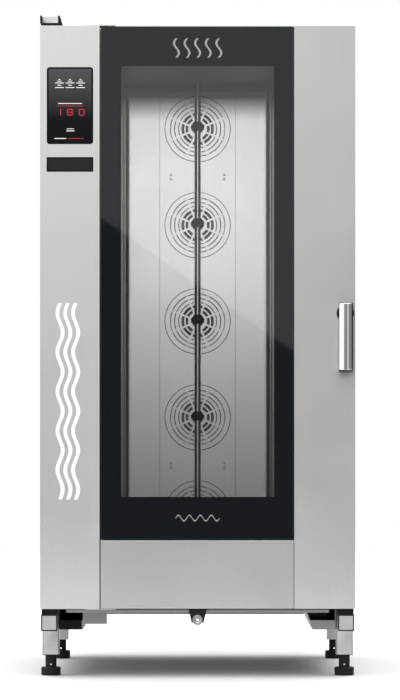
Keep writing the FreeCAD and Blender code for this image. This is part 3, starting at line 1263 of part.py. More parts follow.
# ---- check and write ----
doc.recompute()
broken = [item.Name for item in doc.Objects if {"Invalid", "Error"} & set(item.State)]
if broken:
    raise RuntimeError("failed objects: " + ", ".join(broken))
os.makedirs("parts", exist_ok=True)
for item in pieces:
    if item.Shape.isNull() or not item.Shape.isValid() or not item.Shape.Solids:
        raise RuntimeError("bad shape: " + item.Label)
    item.Shape.exportStep("parts/%s.step" % item.Label)
print("%d sub-parts written" % len(pieces))
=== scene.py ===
import bpy
import bmesh
import json
import math
from mathutils import Matrix, Vector


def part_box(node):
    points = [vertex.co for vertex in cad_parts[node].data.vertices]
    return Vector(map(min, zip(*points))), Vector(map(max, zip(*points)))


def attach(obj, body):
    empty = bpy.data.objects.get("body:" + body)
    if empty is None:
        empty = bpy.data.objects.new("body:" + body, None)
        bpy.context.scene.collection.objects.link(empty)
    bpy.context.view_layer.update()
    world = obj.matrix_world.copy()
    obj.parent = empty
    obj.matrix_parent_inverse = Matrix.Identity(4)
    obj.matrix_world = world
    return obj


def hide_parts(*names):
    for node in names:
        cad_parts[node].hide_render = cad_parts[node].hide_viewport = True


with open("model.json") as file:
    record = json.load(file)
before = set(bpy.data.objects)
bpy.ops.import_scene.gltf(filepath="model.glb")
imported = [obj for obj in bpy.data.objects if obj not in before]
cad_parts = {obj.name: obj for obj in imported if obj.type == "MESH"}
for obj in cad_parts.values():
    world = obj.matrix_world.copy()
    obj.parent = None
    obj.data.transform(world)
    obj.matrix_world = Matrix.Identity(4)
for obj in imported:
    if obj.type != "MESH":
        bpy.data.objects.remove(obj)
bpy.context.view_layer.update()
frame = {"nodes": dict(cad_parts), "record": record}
print("frame loaded")

# where things are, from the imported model
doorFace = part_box("door_right_skin")[0].y
paneLow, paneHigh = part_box("door_outer_glass")
displayLow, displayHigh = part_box("display_glass")
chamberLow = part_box("chamber_floor")[0]
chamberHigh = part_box("chamber_ceiling")[1]
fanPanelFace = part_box("fan_panel")[0].y
fanNodes = sorted(node for node in frame["nodes"] if node.startswith("fan_impeller"))


# camera
camera = {
    "distance": 8.777,      # in front of the door face
    "height": 0.707,
    "lens": 159.6,
    "shiftX": 0.0034,
    "shiftY": 0.1114,
}
cameraData = bpy.data.cameras.new("camera")
cameraData.lens = camera["lens"]
cameraData.shift_x = camera["shiftX"]
cameraData.shift_y = camera["shiftY"]
cameraData.clip_end = 60
cameraObject = bpy.data.objects.new("camera", cameraData)
cameraObject.location = (0, doorFace - camera["distance"], camera["height"])
cameraObject.rotation_euler = (math.radians(90), 0, 0)
bpy.context.scene.collection.objects.link(cameraObject)
bpy.context.scene.camera = cameraObject
bpy.context.scene.view_settings.view_transform = "Standard"


# small helpers
def meshObject(name, bm):
    mesh = bpy.data.meshes.new(name)
    bm.to_mesh(mesh)
    bm.free()
    made = bpy.data.objects.new(name, mesh)
    bpy.context.scene.collection.objects.link(made)
    return made


def giveThickness(bm, thickness):      # towards the front, or back if it's negative
    bmesh.ops.recalc_face_normals(bm, faces=bm.faces)
    pushed = bmesh.ops.extrude_face_region(bm, geom=bm.faces[:])
    moved = [item for item in pushed["geom"] if isinstance(item, bmesh.types.BMVert)]
    bmesh.ops.translate(bm, verts=moved, vec=(0, -thickness, 0))
    bmesh.ops.recalc_face_normals(bm, faces=bm.faces)


def roundEdges(made, width, segments=2, angle=35):
    bevel = made.modifiers.new("edges", "BEVEL")
    bevel.width = width
    bevel.segments = segments
    bevel.limit_method = "ANGLE"
    bevel.angle_limit = math.radians(angle)
    bevel.use_clamp_overlap = True
    bevel.harden_normals = True
    for face in made.data.polygons:
        face.use_smooth = True
    made.data.set_sharp_from_angle(angle=math.radians(angle))


def finishPiece(made, material, body, slotName, *replaced):
    made.data.materials.clear()
    made.data.materials.append(material)
    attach(made, body)
    if replaced:
        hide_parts(*replaced)


slotOf = {entry["node"]: entry["material_slot"] for entry in frame["record"]["subparts"]}
bodyOf = {node: body for body, nodes in frame["record"]["behaviour"]["bodies"].items() for node in nodes}


# material building
def startMaterial(name):
    material = bpy.data.materials.new(name)
    material.use_nodes = True
    return material, material.node_tree, material.node_tree.nodes["Principled BSDF"]


def setSockets(shader, **values):
    for socket, value in values.items():
        shader.inputs[socket.replace("_", " ")].default_value = value


def objectNoise(tree, stretch, scale, detail=3.0):
    place = tree.nodes.new("ShaderNodeTexCoord")
    mapping = tree.nodes.new("ShaderNodeMapping")
    mapping.inputs["Scale"].default_value = stretch
    noise = tree.nodes.new("ShaderNodeTexNoise")
    noise.inputs["Scale"].default_value = scale
    noise.inputs["Detail"].default_value = detail
    tree.links.new(place.outputs["Object"], mapping.inputs["Vector"])
    tree.links.new(mapping.outputs["Vector"], noise.inputs["Vector"])
    return noise.outputs["Fac"]


def spread(tree, source, low, high, target):
    band = tree.nodes.new("ShaderNodeMapRange")
    band.inputs["From Min"].default_value = 0.3
    band.inputs["From Max"].default_value = 0.7
    band.inputs["To Min"].default_value = low
    band.inputs["To Max"].default_value = high
    tree.links.new(source, band.inputs["Value"])
    tree.links.new(band.outputs["Result"], target)


def blendColours(tree, source, first, second, target):
    mix = tree.nodes.new("ShaderNodeMix")
    mix.data_type = "RGBA"
    mix.inputs[6].default_value = (*first, 1)
    mix.inputs[7].default_value = (*second, 1)
    tree.links.new(source, mix.inputs[0])
    tree.links.new(mix.outputs[2], target)


def addBump(tree, source, shader, strength, distance):
    bump = tree.nodes.new("ShaderNodeBump")
    bump.inputs["Strength"].default_value = strength
    bump.inputs["Distance"].default_value = distance
    tree.links.new(source, bump.inputs["Height"])
    tree.links.new(bump.outputs["Normal"], shader.inputs["Normal"])


def shade(colour, factor):
    return tuple(min(1.0, part * factor) for part in colour)


def brushedSteel(name, colour, roughness=0.42, grain=(1, 1, 0.02), fineness=900, change=0.05, cloud=0.02):
    material, tree, shader = startMaterial(name)
    setSockets(shader, Metallic=1.0)
    lines = objectNoise(tree, grain, fineness)
    clouds = objectNoise(tree, (1, 1, 1), 5)
    darker, lighter = shade(colour, 1 - change), shade(colour, 1 + change)
    blendColours(tree, lines, darker, lighter, shader.inputs["Base Color"])
    spread(tree, clouds, roughness - cloud, roughness + cloud, shader.inputs["Roughness"])
    addBump(tree, lines, shader, 0.15, 0.0001)
    return material


def paintedSurface(name, colour, roughness=0.5, fineness=600, change=0.12, bump=0.1, gloss=0.5):
    material, tree, shader = startMaterial(name)
    setSockets(shader, Specular_IOR_Level=gloss)
    specks = objectNoise(tree, (1, 1, 1), fineness)
    clouds = objectNoise(tree, (1, 1, 1), 12)
    darker, lighter = shade(colour, 1 - change), shade(colour, 1 + change)
    blendColours(tree, clouds, darker, lighter, shader.inputs["Base Color"])
    spread(tree, specks, roughness - 0.05, roughness + 0.05, shader.inputs["Roughness"])
    addBump(tree, specks, shader, bump, 0.0001)
    return material


def glossBlack(name, colour, gloss=0.5):
    material, tree, shader = startMaterial(name)
    setSockets(shader, Specular_IOR_Level=gloss)
    smudges = objectNoise(tree, (1, 1, 1), 9)
    blendColours(tree, smudges, shade(colour, 0.85), shade(colour, 1.15), shader.inputs["Base Color"])
    spread(tree, smudges, 0.06, 0.12, shader.inputs["Roughness"])
    return material


def screenSurface(name, bottomColour, topColour, bottom, top):
    material, tree, shader = startMaterial(name)
    setSockets(shader, Specular_IOR_Level=0.1)
    place = tree.nodes.new("ShaderNodeTexCoord")
    split = tree.nodes.new("ShaderNodeSeparateXYZ")
    rise = tree.nodes.new("ShaderNodeMapRange")
    rise.inputs["From Min"].default_value = bottom
    rise.inputs["From Max"].default_value = top
    tree.links.new(place.outputs["Object"], split.inputs["Vector"])
    tree.links.new(split.outputs["Z"], rise.inputs["Value"])
    blendColours(tree, rise.outputs["Result"], bottomColour, topColour, shader.inputs["Base Color"])
    spread(tree, objectNoise(tree, (1, 1, 1), 9), 0.10, 0.16, shader.inputs["Roughness"])
    return material


def clearGlass(name, colour, bend=1.5):
    material, tree, shader = startMaterial(name)
    tree.nodes.remove(shader)
    through = tree.nodes.new("ShaderNodeBsdfTransparent")
    gloss = tree.nodes.new("ShaderNodeBsdfGlossy")
    edge = tree.nodes.new("ShaderNodeFresnel")
    edge.inputs["IOR"].default_value = bend
    both = tree.nodes.new("ShaderNodeMixShader")
    smudges = objectNoise(tree, (1, 1, 1), 6)
    blendColours(tree, smudges, shade(colour, 0.99), colour, through.inputs["Color"])
    spread(tree, smudges, 0.020, 0.024, gloss.inputs["Roughness"])
    tree.links.new(edge.outputs["Fac"], both.inputs["Fac"])
    tree.links.new(through.outputs["BSDF"], both.inputs[1])
    tree.links.new(gloss.outputs["BSDF"], both.inputs[2])
    tree.links.new(both.outputs["Shader"], tree.nodes["Material Output"].inputs["Surface"])
    return material


def litPrint(name, colour, glow):
    material, tree, shader = startMaterial(name)
    setSockets(shader, Roughness=0.5, Emission_Color=(*colour, 1), Emission_Strength=glow)
    specks = objectNoise(tree, (1, 1, 1), 400)
    blendColours(tree, specks, shade(colour, 0.94), colour, shader.inputs["Base Color"])
    return material


finishes = {
    # column, door, lowerDoor and casing are one stainless steel in lit and shaded copies, painted light and
    # shade: brightest on the left column, darker on the door, darker still on the lower door panel, darkest
    # on the casing
    "column": brushedSteel("columnSteelPaintedLight", (0.73, 0.73, 0.72)),
    "door": brushedSteel("doorSteelPaintedShade", (0.68, 0.675, 0.67)),
    "lowerDoor": brushedSteel("lowerDoorSteelPaintedShade", (0.60, 0.595, 0.59)),
    "casing": brushedSteel("casingSteelPaintedShade", (0.50, 0.50, 0.49), grain=(1, 0.02, 1)),
    "chamber": brushedSteel("chamberSteel", (0.34, 0.335, 0.33), 0.34, (1, 1, 0.05), 500),
    "panel": brushedSteel("panelSteel", (0.50, 0.495, 0.49), 0.30, (1, 1, 0.05), 500, cloud=0.005),
    "guard": brushedSteel("guardSteel", (0.50, 0.495, 0.49), 0.30, (1, 1, 1), 300, cloud=0.005),
    # impellers darkened far below bare steel: painted shade, standing in for the dark fan chamber seen
    # through the guard slots
    "fan": brushedSteel("fanSteelPaintedShade", (0.13, 0.13, 0.13), 0.40, (1, 1, 1), 250),
    "heater": brushedSteel("heaterTube", (0.16, 0.15, 0.14), 0.5, (1, 1, 1), 300, 0.15),
    "tube": brushedSteel("tubeSteel", (0.62, 0.62, 0.62), 0.28, (1, 1, 0.05), 500),
    "nozzle": brushedSteel("nozzleSteel", (0.10, 0.10, 0.10), 0.4, (1, 1, 1), 300, 0.1),
    "frame": brushedSteel("frameSteel", (0.58, 0.58, 0.57), 0.4, (0.3, 0.3, 0.3), 300, 0.08),
    "foot": paintedSurface("footBlack", (0.010, 0.010, 0.010), 0.5, 300, 0.15, 0.2, 0.15),
    "bolt": brushedSteel("boltSteel", (0.42, 0.42, 0.41), 0.35, (1, 1, 8), 200, 0.08),
    "duct": brushedSteel("ductSteel", (0.70, 0.70, 0.70), 0.4, (1, 1, 0.1), 400),
    "chrome": brushedSteel("leverChrome", (0.86, 0.86, 0.87), 0.14, (1, 1, 0.2), 150, 0.01),
    "boss": paintedSurface("bossBlack", (0.010, 0.010, 0.011), 0.5, gloss=0.15),
    "rubber": paintedSurface("sealRubber", (0.010, 0.010, 0.010), 0.6, 900, 0.2, 0.3, 0.15),
    # left trolley guide: the same steel part as the right guide, painted near-black as a painted shade on
    # its unlit side
    "guidePaintedShade": paintedSurface("guidePaintedShade", (0.008, 0.008, 0.008), 0.5, gloss=0.1),
    "guideSteel": brushedSteel("guideSteel", (0.32, 0.318, 0.312), 0.4, (0.3, 0.3, 1), 300, 0.08),
    "plastic": paintedSurface("housingPlastic", (0.05, 0.05, 0.055), 0.55),
    "board": paintedSurface("boardGreen", (0.02, 0.12, 0.05), 0.4, 300, 0.3),
    "wool": paintedSurface("insulationWool", (0.62, 0.58, 0.42), 0.95, 250, 0.25, 0.8),
    "motor": paintedSurface("motorPaint", (0.05, 0.05, 0.055), 0.5),
    "brass": brushedSteel("inletBrass", (0.72, 0.55, 0.26), 0.35, (1, 6, 1), 120, 0.08),
    "pad": paintedSurface("padPlastic", (0.006, 0.006, 0.006), 0.5, gloss=0.1),
    "lamp": paintedSurface("lampLens", (0.85, 0.83, 0.78), 0.4, 300, 0.03),
    "displayBlack": glossBlack("displayBlack", (0.002, 0.002, 0.002), 0.1),
    "screen": screenSurface("screenGlass", (0.003, 0.004, 0.006), (0.085, 0.080, 0.088),
                            displayLow.z + 0.07, displayHigh.z),
    "portBlack": paintedSurface("portBlack", (0.016, 0.015, 0.014), 0.5, 500, 0.1, 0.2, 0.15),
    "border": paintedSurface("glassBorder", (0.010, 0.018, 0.027), 0.6, 400, 0.05, 0.0, 0.0),
    "glass": clearGlass("paneGlass", (0.94, 0.94, 0.937)),
    "innerGlass": clearGlass("innerPaneGlass", (0.94, 0.94, 0.937), 1.2),
    # glows on the column and the door glass too: a painted glow there
    "whitePrint": litPrint("whitePrint", (0.86, 0.86, 0.86), 0.15),
    "redPrint": litPrint("redPrint", (0.60, 0.02, 0.04), 0.25),
}
print("finishes mixed")


# casing, door and frame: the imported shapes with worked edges
def softCopy(node, finish, width):
    bm = bmesh.new()
    bm.from_mesh(frame["nodes"][node].data)
    bmesh.ops.remove_doubles(bm, verts=bm.verts, dist=0.000002)
    bmesh.ops.dissolve_limit(bm, angle_limit=math.radians(0.8), verts=bm.verts, edges=bm.edges)
    made = meshObject(node + "_worked", bm)
    roundEdges(made, width)
    finishPiece(made, finishes[finish], bodyOf[node], slotOf[node], node)


worked = {      # node: finish and edge radius
    "control_fascia": ("column", 0.0012),
    "door_right_skin": ("door", 0.0012),
    "door_lower_skin": ("lowerDoor", 0.0010),
    "left_side_panel": ("casing", 0.0006),
    "right_side_panel": ("casing", 0.0006),
    "roof_panel": ("casing", 0.0006),
    "chimney_pipe": ("duct", 0.0005),
    "chimney_seal": ("rubber", 0.0012),
    "under_frame": ("frame", 0.0018),
    "frame_pads": ("pad", 0.0015),
    "foot_front_left": ("foot", 0.0008),
    "foot_front_right": ("foot", 0.0008),
    "foot_rear_left": ("foot", 0.0008),
    "foot_rear_right": ("foot", 0.0008),
    "drip_channel": ("guideSteel", 0.0005),
    "left_trolley_guide": ("guidePaintedShade", 0.0008),
    "right_trolley_guide": ("guideSteel", 0.0008),
    "dock_bracket": ("boss", 0.0008),
    "dock_bush": ("bolt", 0.0008),
    "handle_spindle": ("boss", 0.0010),
    "hinge_plates": ("frame", 0.0005),
    "port_flap": ("portBlack", 0.0004),
    "spray_nozzles": ("nozzle", 0.0012),
    "panel_screws": ("bolt", 0.0010),
}
for node, (finish, width) in worked.items():
    softCopy(node, finish, width)

stopStart = -0.331      # faces of the left guide to the right of this are bare steel; the rest of the guide is painted near-black, a painted shade
leftGuide = bpy.data.objects["left_trolley_guide_worked"]
leftGuide.data.materials.append(finishes["guideSteel"])
bm = bmesh.new()
bm.from_mesh(leftGuide.data)
bmesh.ops.bisect_plane(bm, geom=bm.verts[:] + bm.edges[:] + bm.faces[:], plane_co=(stopStart, 0, 0),
                       plane_no=(1, 0, 0))
for face in bm.faces:
    face.material_index = 1 if face.calc_center_median().x > stopStart else 0
bm.to_mesh(leftGuide.data)
bm.free()

asPacked = {
    "rear_panel": "casing", "base_pan": "casing", "front_frame": "chamber", "door_frame": "door",
    "latch_keeper": "frame", "chamber_left_wall": "panel", "chamber_right_wall": "panel",
    "chamber_rear_wall": "chamber", "chamber_ceiling": "chamber", "chamber_floor": "chamber",
    "fan_panel": "panel", "left_air_baffle": "panel", "right_air_baffle": "panel",
    "ring_heaters": "heater", "spray_tube": "tube", "fan_motors": "motor", "insulation_jacket": "wool",
    "door_outer_glass": "glass", "door_inner_glass": "innerGlass", "display_glass": "displayBlack",
    "display_housing": "plastic", "port_socket": "plastic", "control_board": "board",
    "door_gasket": "rubber", "door_lamps": "lamp", "hinge_bushes": "brass",
    "water_inlets": "brass", "fan_guards": "guard", "drain_pipe": "frame", "cable_gland": "plastic",
}
asPacked.update({node: "fan" for node in fanNodes})
for node, finish in asPacked.items():
    mesh = frame["nodes"][node].data
    if not mesh.materials:
        mesh.materials.append(None)
    for i in range(len(mesh.materials)):
        mesh.materials[i] = finishes[finish]
print("packed shapes dressed")


# lever: a crowned chrome front, which shades from left to right, on a dark copy of the lever that shows
# beside it at the right, top and bottom as painted dark edges, standing in for the dark reflections on the
# polished bar's edges
lever = {
    "crown": 0.0075,        # front face falls back by this at its sides
    "columns": 24,
    "edge": 0.0040,
    "darkEdgeSetback": 0.009,   # painted dark edges: the dark copy sits this far behind the tip of the front
    "rightRim": 0.0030,     # painted dark edge seen beside the front
    "topRim": 0.0020,
    "bottomRim": 0.0040,
}
leverLow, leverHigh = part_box("handle_lever")


def crownedBar(name, low, high, crown, finish, *replaced):
    middle = (low + high) / 2
    size = high - low
    bm = bmesh.new()
    bmesh.ops.create_grid(bm, x_segments=lever["columns"], y_segments=1, size=0.5)
    for vert in bm.verts:
        side = vert.co.x * 2
        vert.co = (middle.x + vert.co.x * size.x, low.y + crown * side ** 2, middle.z + vert.co.y * size.z)
    pushed = bmesh.ops.extrude_face_region(bm, geom=bm.faces[:])
    for item in pushed["geom"]:
        if isinstance(item, bmesh.types.BMVert):
            item.co.y = high.y
    bmesh.ops.recalc_face_normals(bm, faces=bm.faces)
    bar = meshObject(name, bm)
    roundEdges(bar, lever["edge"], 4)
    finishPiece(bar, finishes[finish], bodyOf["handle_lever"], slotOf["handle_lever"], *replaced)


frontLow = leverLow + Vector((0, 0, lever["bottomRim"]))
frontHigh = leverHigh - Vector((lever["rightRim"], 0, lever["topRim"]))
crownedBar("handle_lever_front", frontLow, frontHigh, lever["crown"], "chrome", "handle_lever")
# painted dark edges: a dark copy of the lever behind the chrome front, standing in for dark reflections
darkEdgeFront = leverLow + Vector((0, lever["darkEdgeSetback"], 0))
crownedBar("handle_lever_painted_edges", darkEdgeFront, leverHigh, 0.0, "boss")


# dark printed border behind the door glass
border = {
    "depth": 0.0006,        # thickness of the print as drawn
    "fromFront": 0.0032,    # behind the face of the pane
    "sideInset": 0.0085,    # clear window inside the chamber's sides
    "rise": 0.177,          # window above the chamber floor
    "drop": 0.028,          # window below the chamber ceiling
    "sheet": 0.0015,        # chamber walls
    "edge": 0.001,          # bare glass outside the print
}
windowLow = Vector((chamberLow.x + border["sheet"] + border["sideInset"], 0,
                    chamberLow.z + border["sheet"] + border["rise"]))
windowHigh = Vector((chamberHigh.x - border["sheet"] - border["sideInset"], 0,
                     chamberHigh.z - border["sheet"] - border["drop"]))


def ringPlate(outerLow, outerHigh, innerLow, innerHigh, front, thickness):
    bm = bmesh.new()
    edges = []
    for low, high in ((outerLow, outerHigh), (innerLow, innerHigh)):
        corners = ((low.x, low.z), (high.x, low.z), (high.x, high.z), (low.x, high.z))
        loop = [bm.verts.new((x, front, z)) for x, z in corners]
        edges += [bm.edges.new((loop[i], loop[(i + 1) % 4])) for i in range(4)]
    bmesh.ops.bridge_loops(bm, edges=edges)
    giveThickness(bm, thickness)
    return bm


frontOfPrint = paneLow.y + border["fromFront"]
borderInset = Vector((border["edge"], 0, border["edge"]))
borderPiece = meshObject("glass_border", ringPlate(
    paneLow + borderInset, paneHigh - borderInset, windowLow, windowHigh, frontOfPrint, -border["depth"]))
finishPiece(borderPiece, finishes["border"], "door", "door_glass")


# dark seam round each fan guard
guardSeam = {"outer": 0.1014, "inner": 0.0994, "sides": 72, "thickness": 0.0002}
guardLow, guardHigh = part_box("fan_guards")
guardTop = guardHigh.z - (guardHigh.x - guardLow.x) / 2
fanPitch = (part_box(fanNodes[0])[0].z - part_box(fanNodes[-1])[0].z) / (len(fanNodes) - 1)
upright = Matrix.Rotation(math.pi / 2, 4, "X")
bm = bmesh.new()
for fan in range(len(fanNodes)):
    turned = Matrix.Translation((0, guardLow.y, guardTop - fan * fanPitch)) @ upright
    already = len(bm.edges)
    for radius in (guardSeam["inner"], guardSeam["outer"]):
        bmesh.ops.create_circle(bm, segments=guardSeam["sides"], radius=radius, matrix=turned)
    bmesh.ops.bridge_loops(bm, edges=bm.edges[:][already:])
giveThickness(bm, guardSeam["thickness"])
finishPiece(meshObject("guard_seams", bm), finishes["boss"], "root", slotOf["fan_guards"])


# dark rims round the port, the rail ends and the legs, and the lit part of the display inside its own rim;
# the rims on the rail ends and the legs are painted shade, standing in for the dark reflections on the
# tubes' rounded corners
rims = {
    "display": 0.0045,      # widths
    "port": 0.0035,
    "tube": 0.0036,
    "proud": 0.0002,        # the rims' faces in front of the piece
    "screenGap": 0.00005,   # the lit part in front of the glass
}


def rimPiece(name, low, high, width, front, finish, body, slotName):
    inset = Vector((width, 0, width))
    ring = ringPlate(low, high, low + inset, high - inset, front, rims["proud"])
    finishPiece(meshObject(name, ring), finishes[finish], body, slotName)


portLow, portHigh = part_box("port_flap")
portLow.x, portHigh.x = displayLow.x, displayHigh.x
rimPiece("port_rim", portLow, portHigh, rims["port"], portLow.y, "displayBlack", bodyOf["port_flap"],
         slotOf["port_flap"])
screenInset = Vector((rims["display"], 0, rims["display"]))
screenLow = displayLow + screenInset
screenHigh = displayHigh - screenInset
bm = bmesh.new()
bmesh.ops.create_grid(bm, x_segments=1, y_segments=1, size=0.5)
for vert in bm.verts:
    across = screenLow.x + (vert.co.x + 0.5) * (screenHigh.x - screenLow.x)
    up = screenLow.z + (vert.co.y + 0.5) * (screenHigh.z - screenLow.z)
    vert.co = (across, displayLow.y - rims["screenGap"], up)
finishPiece(meshObject("display_screen", bm), finishes["screen"], "root", slotOf["display_glass"])

tube = {
    "width": 0.046, "railMiddle": 0.420, "railLow": 0.1325, "railHigh": 0.179,
    "railFront": 0.002, "legLow": 0.058, "legFront": 0.090,
}
# painted shade: dark rims in the rubber finish on the rail ends and legs, standing in for the dark
# reflections on the tubes' rounded corners
for side in (-1, 1):
    middle = side * tube["railMiddle"]
    left, right = middle - tube["width"] / 2, middle + tube["width"] / 2
    rimPiece("rail_rim_%d" % side, Vector((left, 0, tube["railLow"])), Vector((right, 0, tube["railHigh"])),
             rims["tube"], doorFace + tube["railFront"], "rubber", "root", slotOf["under_frame"])
    rimPiece("leg_rim_%d" % side, Vector((left, 0, tube["legLow"])), Vector((right, 0, tube["railLow"])),
             rims["tube"] / 2, doorFace + tube["legFront"], "rubber", "root", slotOf["under_frame"])


# printed marks: steam waves on the column and the door glass, lit signs on the display; the white print
# glows wherever it is used, a painted glow on the column and the door glass
stripsInTurn = 16


def waveStroke(bm, x, low, high, y, width, sway, turns, sideways=False):
    strips = int(turns * stripsInTurn)
    made = bmesh.ops.create_grid(bm, x_segments=1, y_segments=strips, size=0.5)["verts"]
    length = high - low
    for vert in made:
        along = vert.co.y + 0.5
        across = vert.co.x * width + sway * math.sin(2 * math.pi * turns * along)
        if sideways:
            vert.co = (low + along * length, y, x + across)
        else:
            vert.co = (x + across, y, low + along * length)
    return made


columnMark = {
    "x": -0.367,            # middle of the mark
    "pitch": 0.022,
    "low": 0.505,
    "high": 1.060,
    "width": 0.0105,
    "sway": 0.0075,
    "turns": 5.0,
    "gap": 0.0001,          # in front of the sheet
    "thickness": 0.0003,
}
bm = bmesh.new()
for step in (-1, 0, 1):
    waveStroke(bm, columnMark["x"] + step * columnMark["pitch"], columnMark["low"], columnMark["high"],
               doorFace - columnMark["gap"], columnMark["width"], columnMark["sway"], columnMark["turns"])
giveThickness(bm, columnMark["thickness"])
finishPiece(meshObject("column_mark", bm), finishes["whitePrint"], "root", "casing_steel")

glassMark = {
    "x": 0.0, "z": 1.782,
    "width": 0.006, "height": 0.055, "sway": 0.007, "pitch": 0.030, "strokes": 5, "turns": 1.0,
    "gap": 0.0002, "thickness": 0.0003,
}
lowMark = {"z": 0.452, "reach": 0.062, "width": 0.0035, "sway": 0.008, "turns": 4.0}
bm = bmesh.new()
for step in range(glassMark["strokes"]):
    offset = (step - (glassMark["strokes"] - 1) / 2) * glassMark["pitch"]
    waveStroke(bm, glassMark["x"] + offset, glassMark["z"] - glassMark["height"] / 2,
               glassMark["z"] + glassMark["height"] / 2, frontOfPrint - glassMark["gap"],
               glassMark["width"], glassMark["sway"], glassMark["turns"])
lowWave = waveStroke(bm, 0, -lowMark["reach"], lowMark["reach"], frontOfPrint - glassMark["gap"],
                     lowMark["width"], lowMark["sway"], lowMark["turns"], True)
bmesh.ops.translate(bm, verts=lowWave, vec=(0, 0, lowMark["z"]))
giveThickness(bm, glassMark["thickness"])
finishPiece(meshObject("glass_mark", bm), finishes["whitePrint"], "door", "door_glass")

signs = {       # across and down the display, as parts of its width and height; the first two in metres
    "gap": 0.0001,
    "thickness": 0.0002,
    "icons": (0.27, 0.50, 0.73),
    "iconTop": 0.155,
    "iconBars": (           # half width, drop and height: a covered pan with two lines below it
        (0.020, 0.000, 0.012),
        (0.0475, 0.022, 0.008),
        (0.095, 0.045, 0.010),
        (0.038, 0.075, 0.010),
        (0.095, 0.105, 0.010),
    ),
    "whiteBars": (          # left, right, top, bottom
        (0.24, 0.76, 0.468, 0.478),
        (0.43, 0.59, 0.800, 0.808),
        (0.42, 0.60, 0.826, 0.836),
        (0.16, 0.42, 0.925, 0.935),
    ),
    "redBars": (
        (0.22, 0.78, 0.503, 0.508),
        (0.46, 0.80, 0.928, 0.934),
    ),
    "number": "180",
    "numberLeft": 0.185,
    "numberTop": 0.545,
    "numberHeight": 0.085,
    "numberWidth": 0.12,
    "numberPitch": 0.255,
    "stroke": 0.016,        # upright bars of the digits
    "thinStroke": 0.0096,   # level bars
}


def signBar(bm, left, right, top, bottom):
    made = bmesh.ops.create_grid(bm, x_segments=1, y_segments=1, size=0.5)["verts"]
    span = displayHigh - displayLow
    for vert in made:
        across = left + (vert.co.x + 0.5) * (right - left)
        down = top + (vert.co.y + 0.5) * (bottom - top)
        place = (displayLow.x + across * span.x, displayLow.y - signs["gap"], displayHigh.z - down * span.z)
        vert.co = place


segmentsOf = {"1": "bc", "8": "abcdefg", "0": "abcdef"}


def digitBars(bm, digit, left, top):
    wide, high = signs["numberWidth"], signs["numberHeight"]
    thick, thin = signs["stroke"], signs["thinStroke"]
    middle = top + high / 2
    bars = {
        "a": (left, left + wide, top, top + thin),
        "b": (left + wide - thick, left + wide, top, middle),
        "c": (left + wide - thick, left + wide, middle, top + high),
        "d": (left, left + wide, top + high - thin, top + high),
        "e": (left, left + thick, middle, top + high),
        "f": (left, left + thick, top, middle),
        "g": (left, left + wide, middle - thin / 2, middle + thin / 2),
    }
    for segment in segmentsOf[digit]:
        signBar(bm, *bars[segment])


whiteSigns = bmesh.new()
for middle in signs["icons"]:
    for half, drop, height in signs["iconBars"]:
        top = signs["iconTop"] + drop
        signBar(whiteSigns, middle - half, middle + half, top, top + height)
for bar in signs["whiteBars"]:
    signBar(whiteSigns, *bar)
giveThickness(whiteSigns, signs["thickness"])
finishPiece(meshObject("display_signs", whiteSigns), finishes["whitePrint"], "root", slotOf["display_glass"])

redSigns = bmesh.new()
for bar in signs["redBars"]:
    signBar(redSigns, *bar)
for i, digit in enumerate(signs["number"]):
    digitBars(redSigns, digit, signs["numberLeft"] + i * signs["numberPitch"], signs["numberTop"])
giveThickness(redSigns, signs["thickness"])
finishPiece(meshObject("display_number", redSigns), finishes["redPrint"], "root", slotOf["display_glass"])
print("marks printed")


# floor, surroundings and lights
floor = {"half": 5, "back": 3.7, "drop": 0.0005}       # its middle is behind the door's face
floorMesh = bmesh.new()
bmesh.ops.create_grid(floorMesh, x_segments=1, y_segments=1, size=floor["half"])
bmesh.ops.translate(floorMesh, verts=floorMesh.verts, vec=(0, doorFace + floor["back"], 0))
floorPiece = meshObject("studio_floor", floorMesh)
floorPiece.data.materials.append(paintedSurface("floorWhite", (0.6, 0.6, 0.6), 0.8, 40, 0.01, 0.0, 0.1))
floorPiece.location.z = -floor["drop"]

# the room as the surfaces see it: bright overhead and to the left, darker to the right, ahead and below
room = {        # brightness, and the cosines of the angle to that side between which it fades in
    "level": 1.5,
    "overhead": (3.8, 0.45, 0.85),
    "ahead": (0.22, 0.78, 0.97),
    "right": (0.15, 0.30, 0.85),        # this and the next two as parts of the level
    "behind": (0.35, -0.3, 0.3),
    "below": (0.38, 0.0, 0.15),
}
world = bpy.data.worlds.new("studio")
bpy.context.scene.world = world
world.use_nodes = True
sky = world.node_tree
aim = sky.nodes.new("ShaderNodeTexCoord")


def towards(direction, side, elsewhere):
    brightness, start, end = room[side]
    facing = sky.nodes.new("ShaderNodeVectorMath")
    facing.operation = "DOT_PRODUCT"
    facing.inputs[1].default_value = direction
    fade = sky.nodes.new("ShaderNodeMapRange")
    fade.interpolation_type = "SMOOTHSTEP"
    fade.inputs["From Min"].default_value = start
    fade.inputs["From Max"].default_value = end
    fade.inputs["To Min"].default_value = elsewhere
    fade.inputs["To Max"].default_value = brightness
    sky.links.new(aim.outputs["Generated"], facing.inputs[0])
    sky.links.new(facing.outputs["Value"], fade.inputs["Value"])
    return fade.outputs["Result"]


def combine(operation, first, second):
    step = sky.nodes.new("ShaderNodeMath")
    step.operation = operation
    sky.links.new(first, step.inputs[0])
    sky.links.new(second, step.inputs[1])
    return step.outputs["Value"]


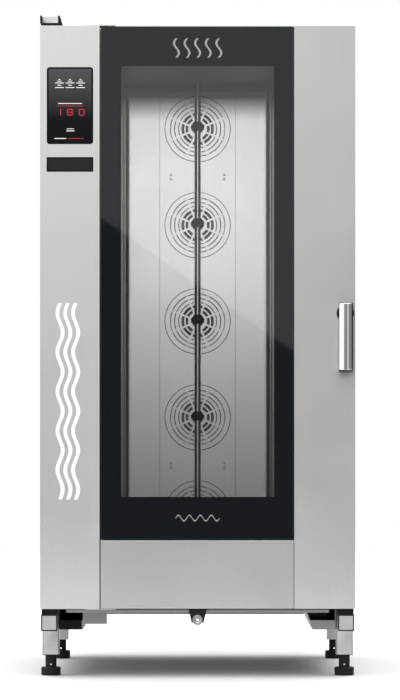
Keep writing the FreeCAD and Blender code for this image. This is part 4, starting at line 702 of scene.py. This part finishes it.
ahead = towards((0, -1, 0), "ahead", room["level"])
right = towards((1, 0, 0), "right", 1.0)
below = towards((0, 0, -1), "below", 1.0)
overhead = towards((0, 0, 1), "overhead", 0.0)
behind = towards((0, 1, 0), "behind", 1.0)
aroundOven = combine("MULTIPLY", combine("MULTIPLY", ahead, right), combine("MULTIPLY", below, behind))
seen = combine("MAXIMUM", aroundOven, overhead)
whiteForCamera = sky.nodes.new("ShaderNodeMix")
ray = sky.nodes.new("ShaderNodeLightPath")
whiteForCamera.inputs["B"].default_value = 1.0
sky.links.new(ray.outputs["Is Camera Ray"], whiteForCamera.inputs["Factor"])
sky.links.new(seen, whiteForCamera.inputs["A"])
sky.links.new(whiteForCamera.outputs["Result"], sky.nodes["Background"].inputs["Strength"])
sky.nodes["Background"].inputs["Color"].default_value = (1, 1, 1, 1)


lights = {      # places are across, in front of the door's face and up; rolls are in degrees
    "diagonalCard": {
        "size": (6.0, 5.0), "power": 80, "roll": -34.8,
        "place": (1.44, 9.6, 3.60), "target": (1.44, 0, 3.60),
    },
    "softboxLeft": {
        "size": (2.5, 2.5), "power": 34, "roll": 0,
        "place": (-1.0, 7.0, 3.0), "target": (-0.3, 0, 1.3),
    },
    "windowLight": {
        "size": (0.85, 0.85), "power": 86, "roll": 0,
        "place": (0, 8.8, 2.25), "target": (0, doorFace - fanPanelFace, 1.5),
    },
}


def beforeDoor(across, forward, up):
    return Vector((across, doorFace - forward, up))


def areaLight(name, receivers):
    setting = lights[name]
    data = bpy.data.lights.new(name, "AREA")
    data.shape = "RECTANGLE"
    data.size, data.size_y = setting["size"]
    data.energy = setting["power"]
    place = beforeDoor(*setting["place"])
    direction = beforeDoor(*setting["target"]) - place
    turn = direction.to_track_quat("-Z", "Y").to_matrix().to_4x4()
    roll = Matrix.Rotation(math.radians(setting["roll"]), 4, "Z")
    made = bpy.data.objects.new(name, data)
    made.matrix_world = Matrix.Translation(place) @ turn @ roll
    made.visible_camera = False
    bpy.context.scene.collection.objects.link(made)
    group = bpy.data.collections.new(name + "_receivers")
    for item in receivers:
        group.objects.link(item)
    made.light_linking.receiver_collection = group


insideNodes = ("chamber_", "fan_", "guard_seams", "left_air", "right_air", "ring_", "spray_", "panel_screws")
meshes = [item for item in bpy.context.scene.objects if item.type == "MESH" and item != floorPiece]
inside = [item for item in meshes if item.name.startswith(insideNodes)]
outside = [item for item in meshes if item not in inside]
glossy = [item for item in outside if "glass" in item.name or "display" in item.name]
areaLight("diagonalCard", glossy)
areaLight("softboxLeft", [item for item in outside if item not in glossy])
areaLight("windowLight", inside)
print("studio lit")
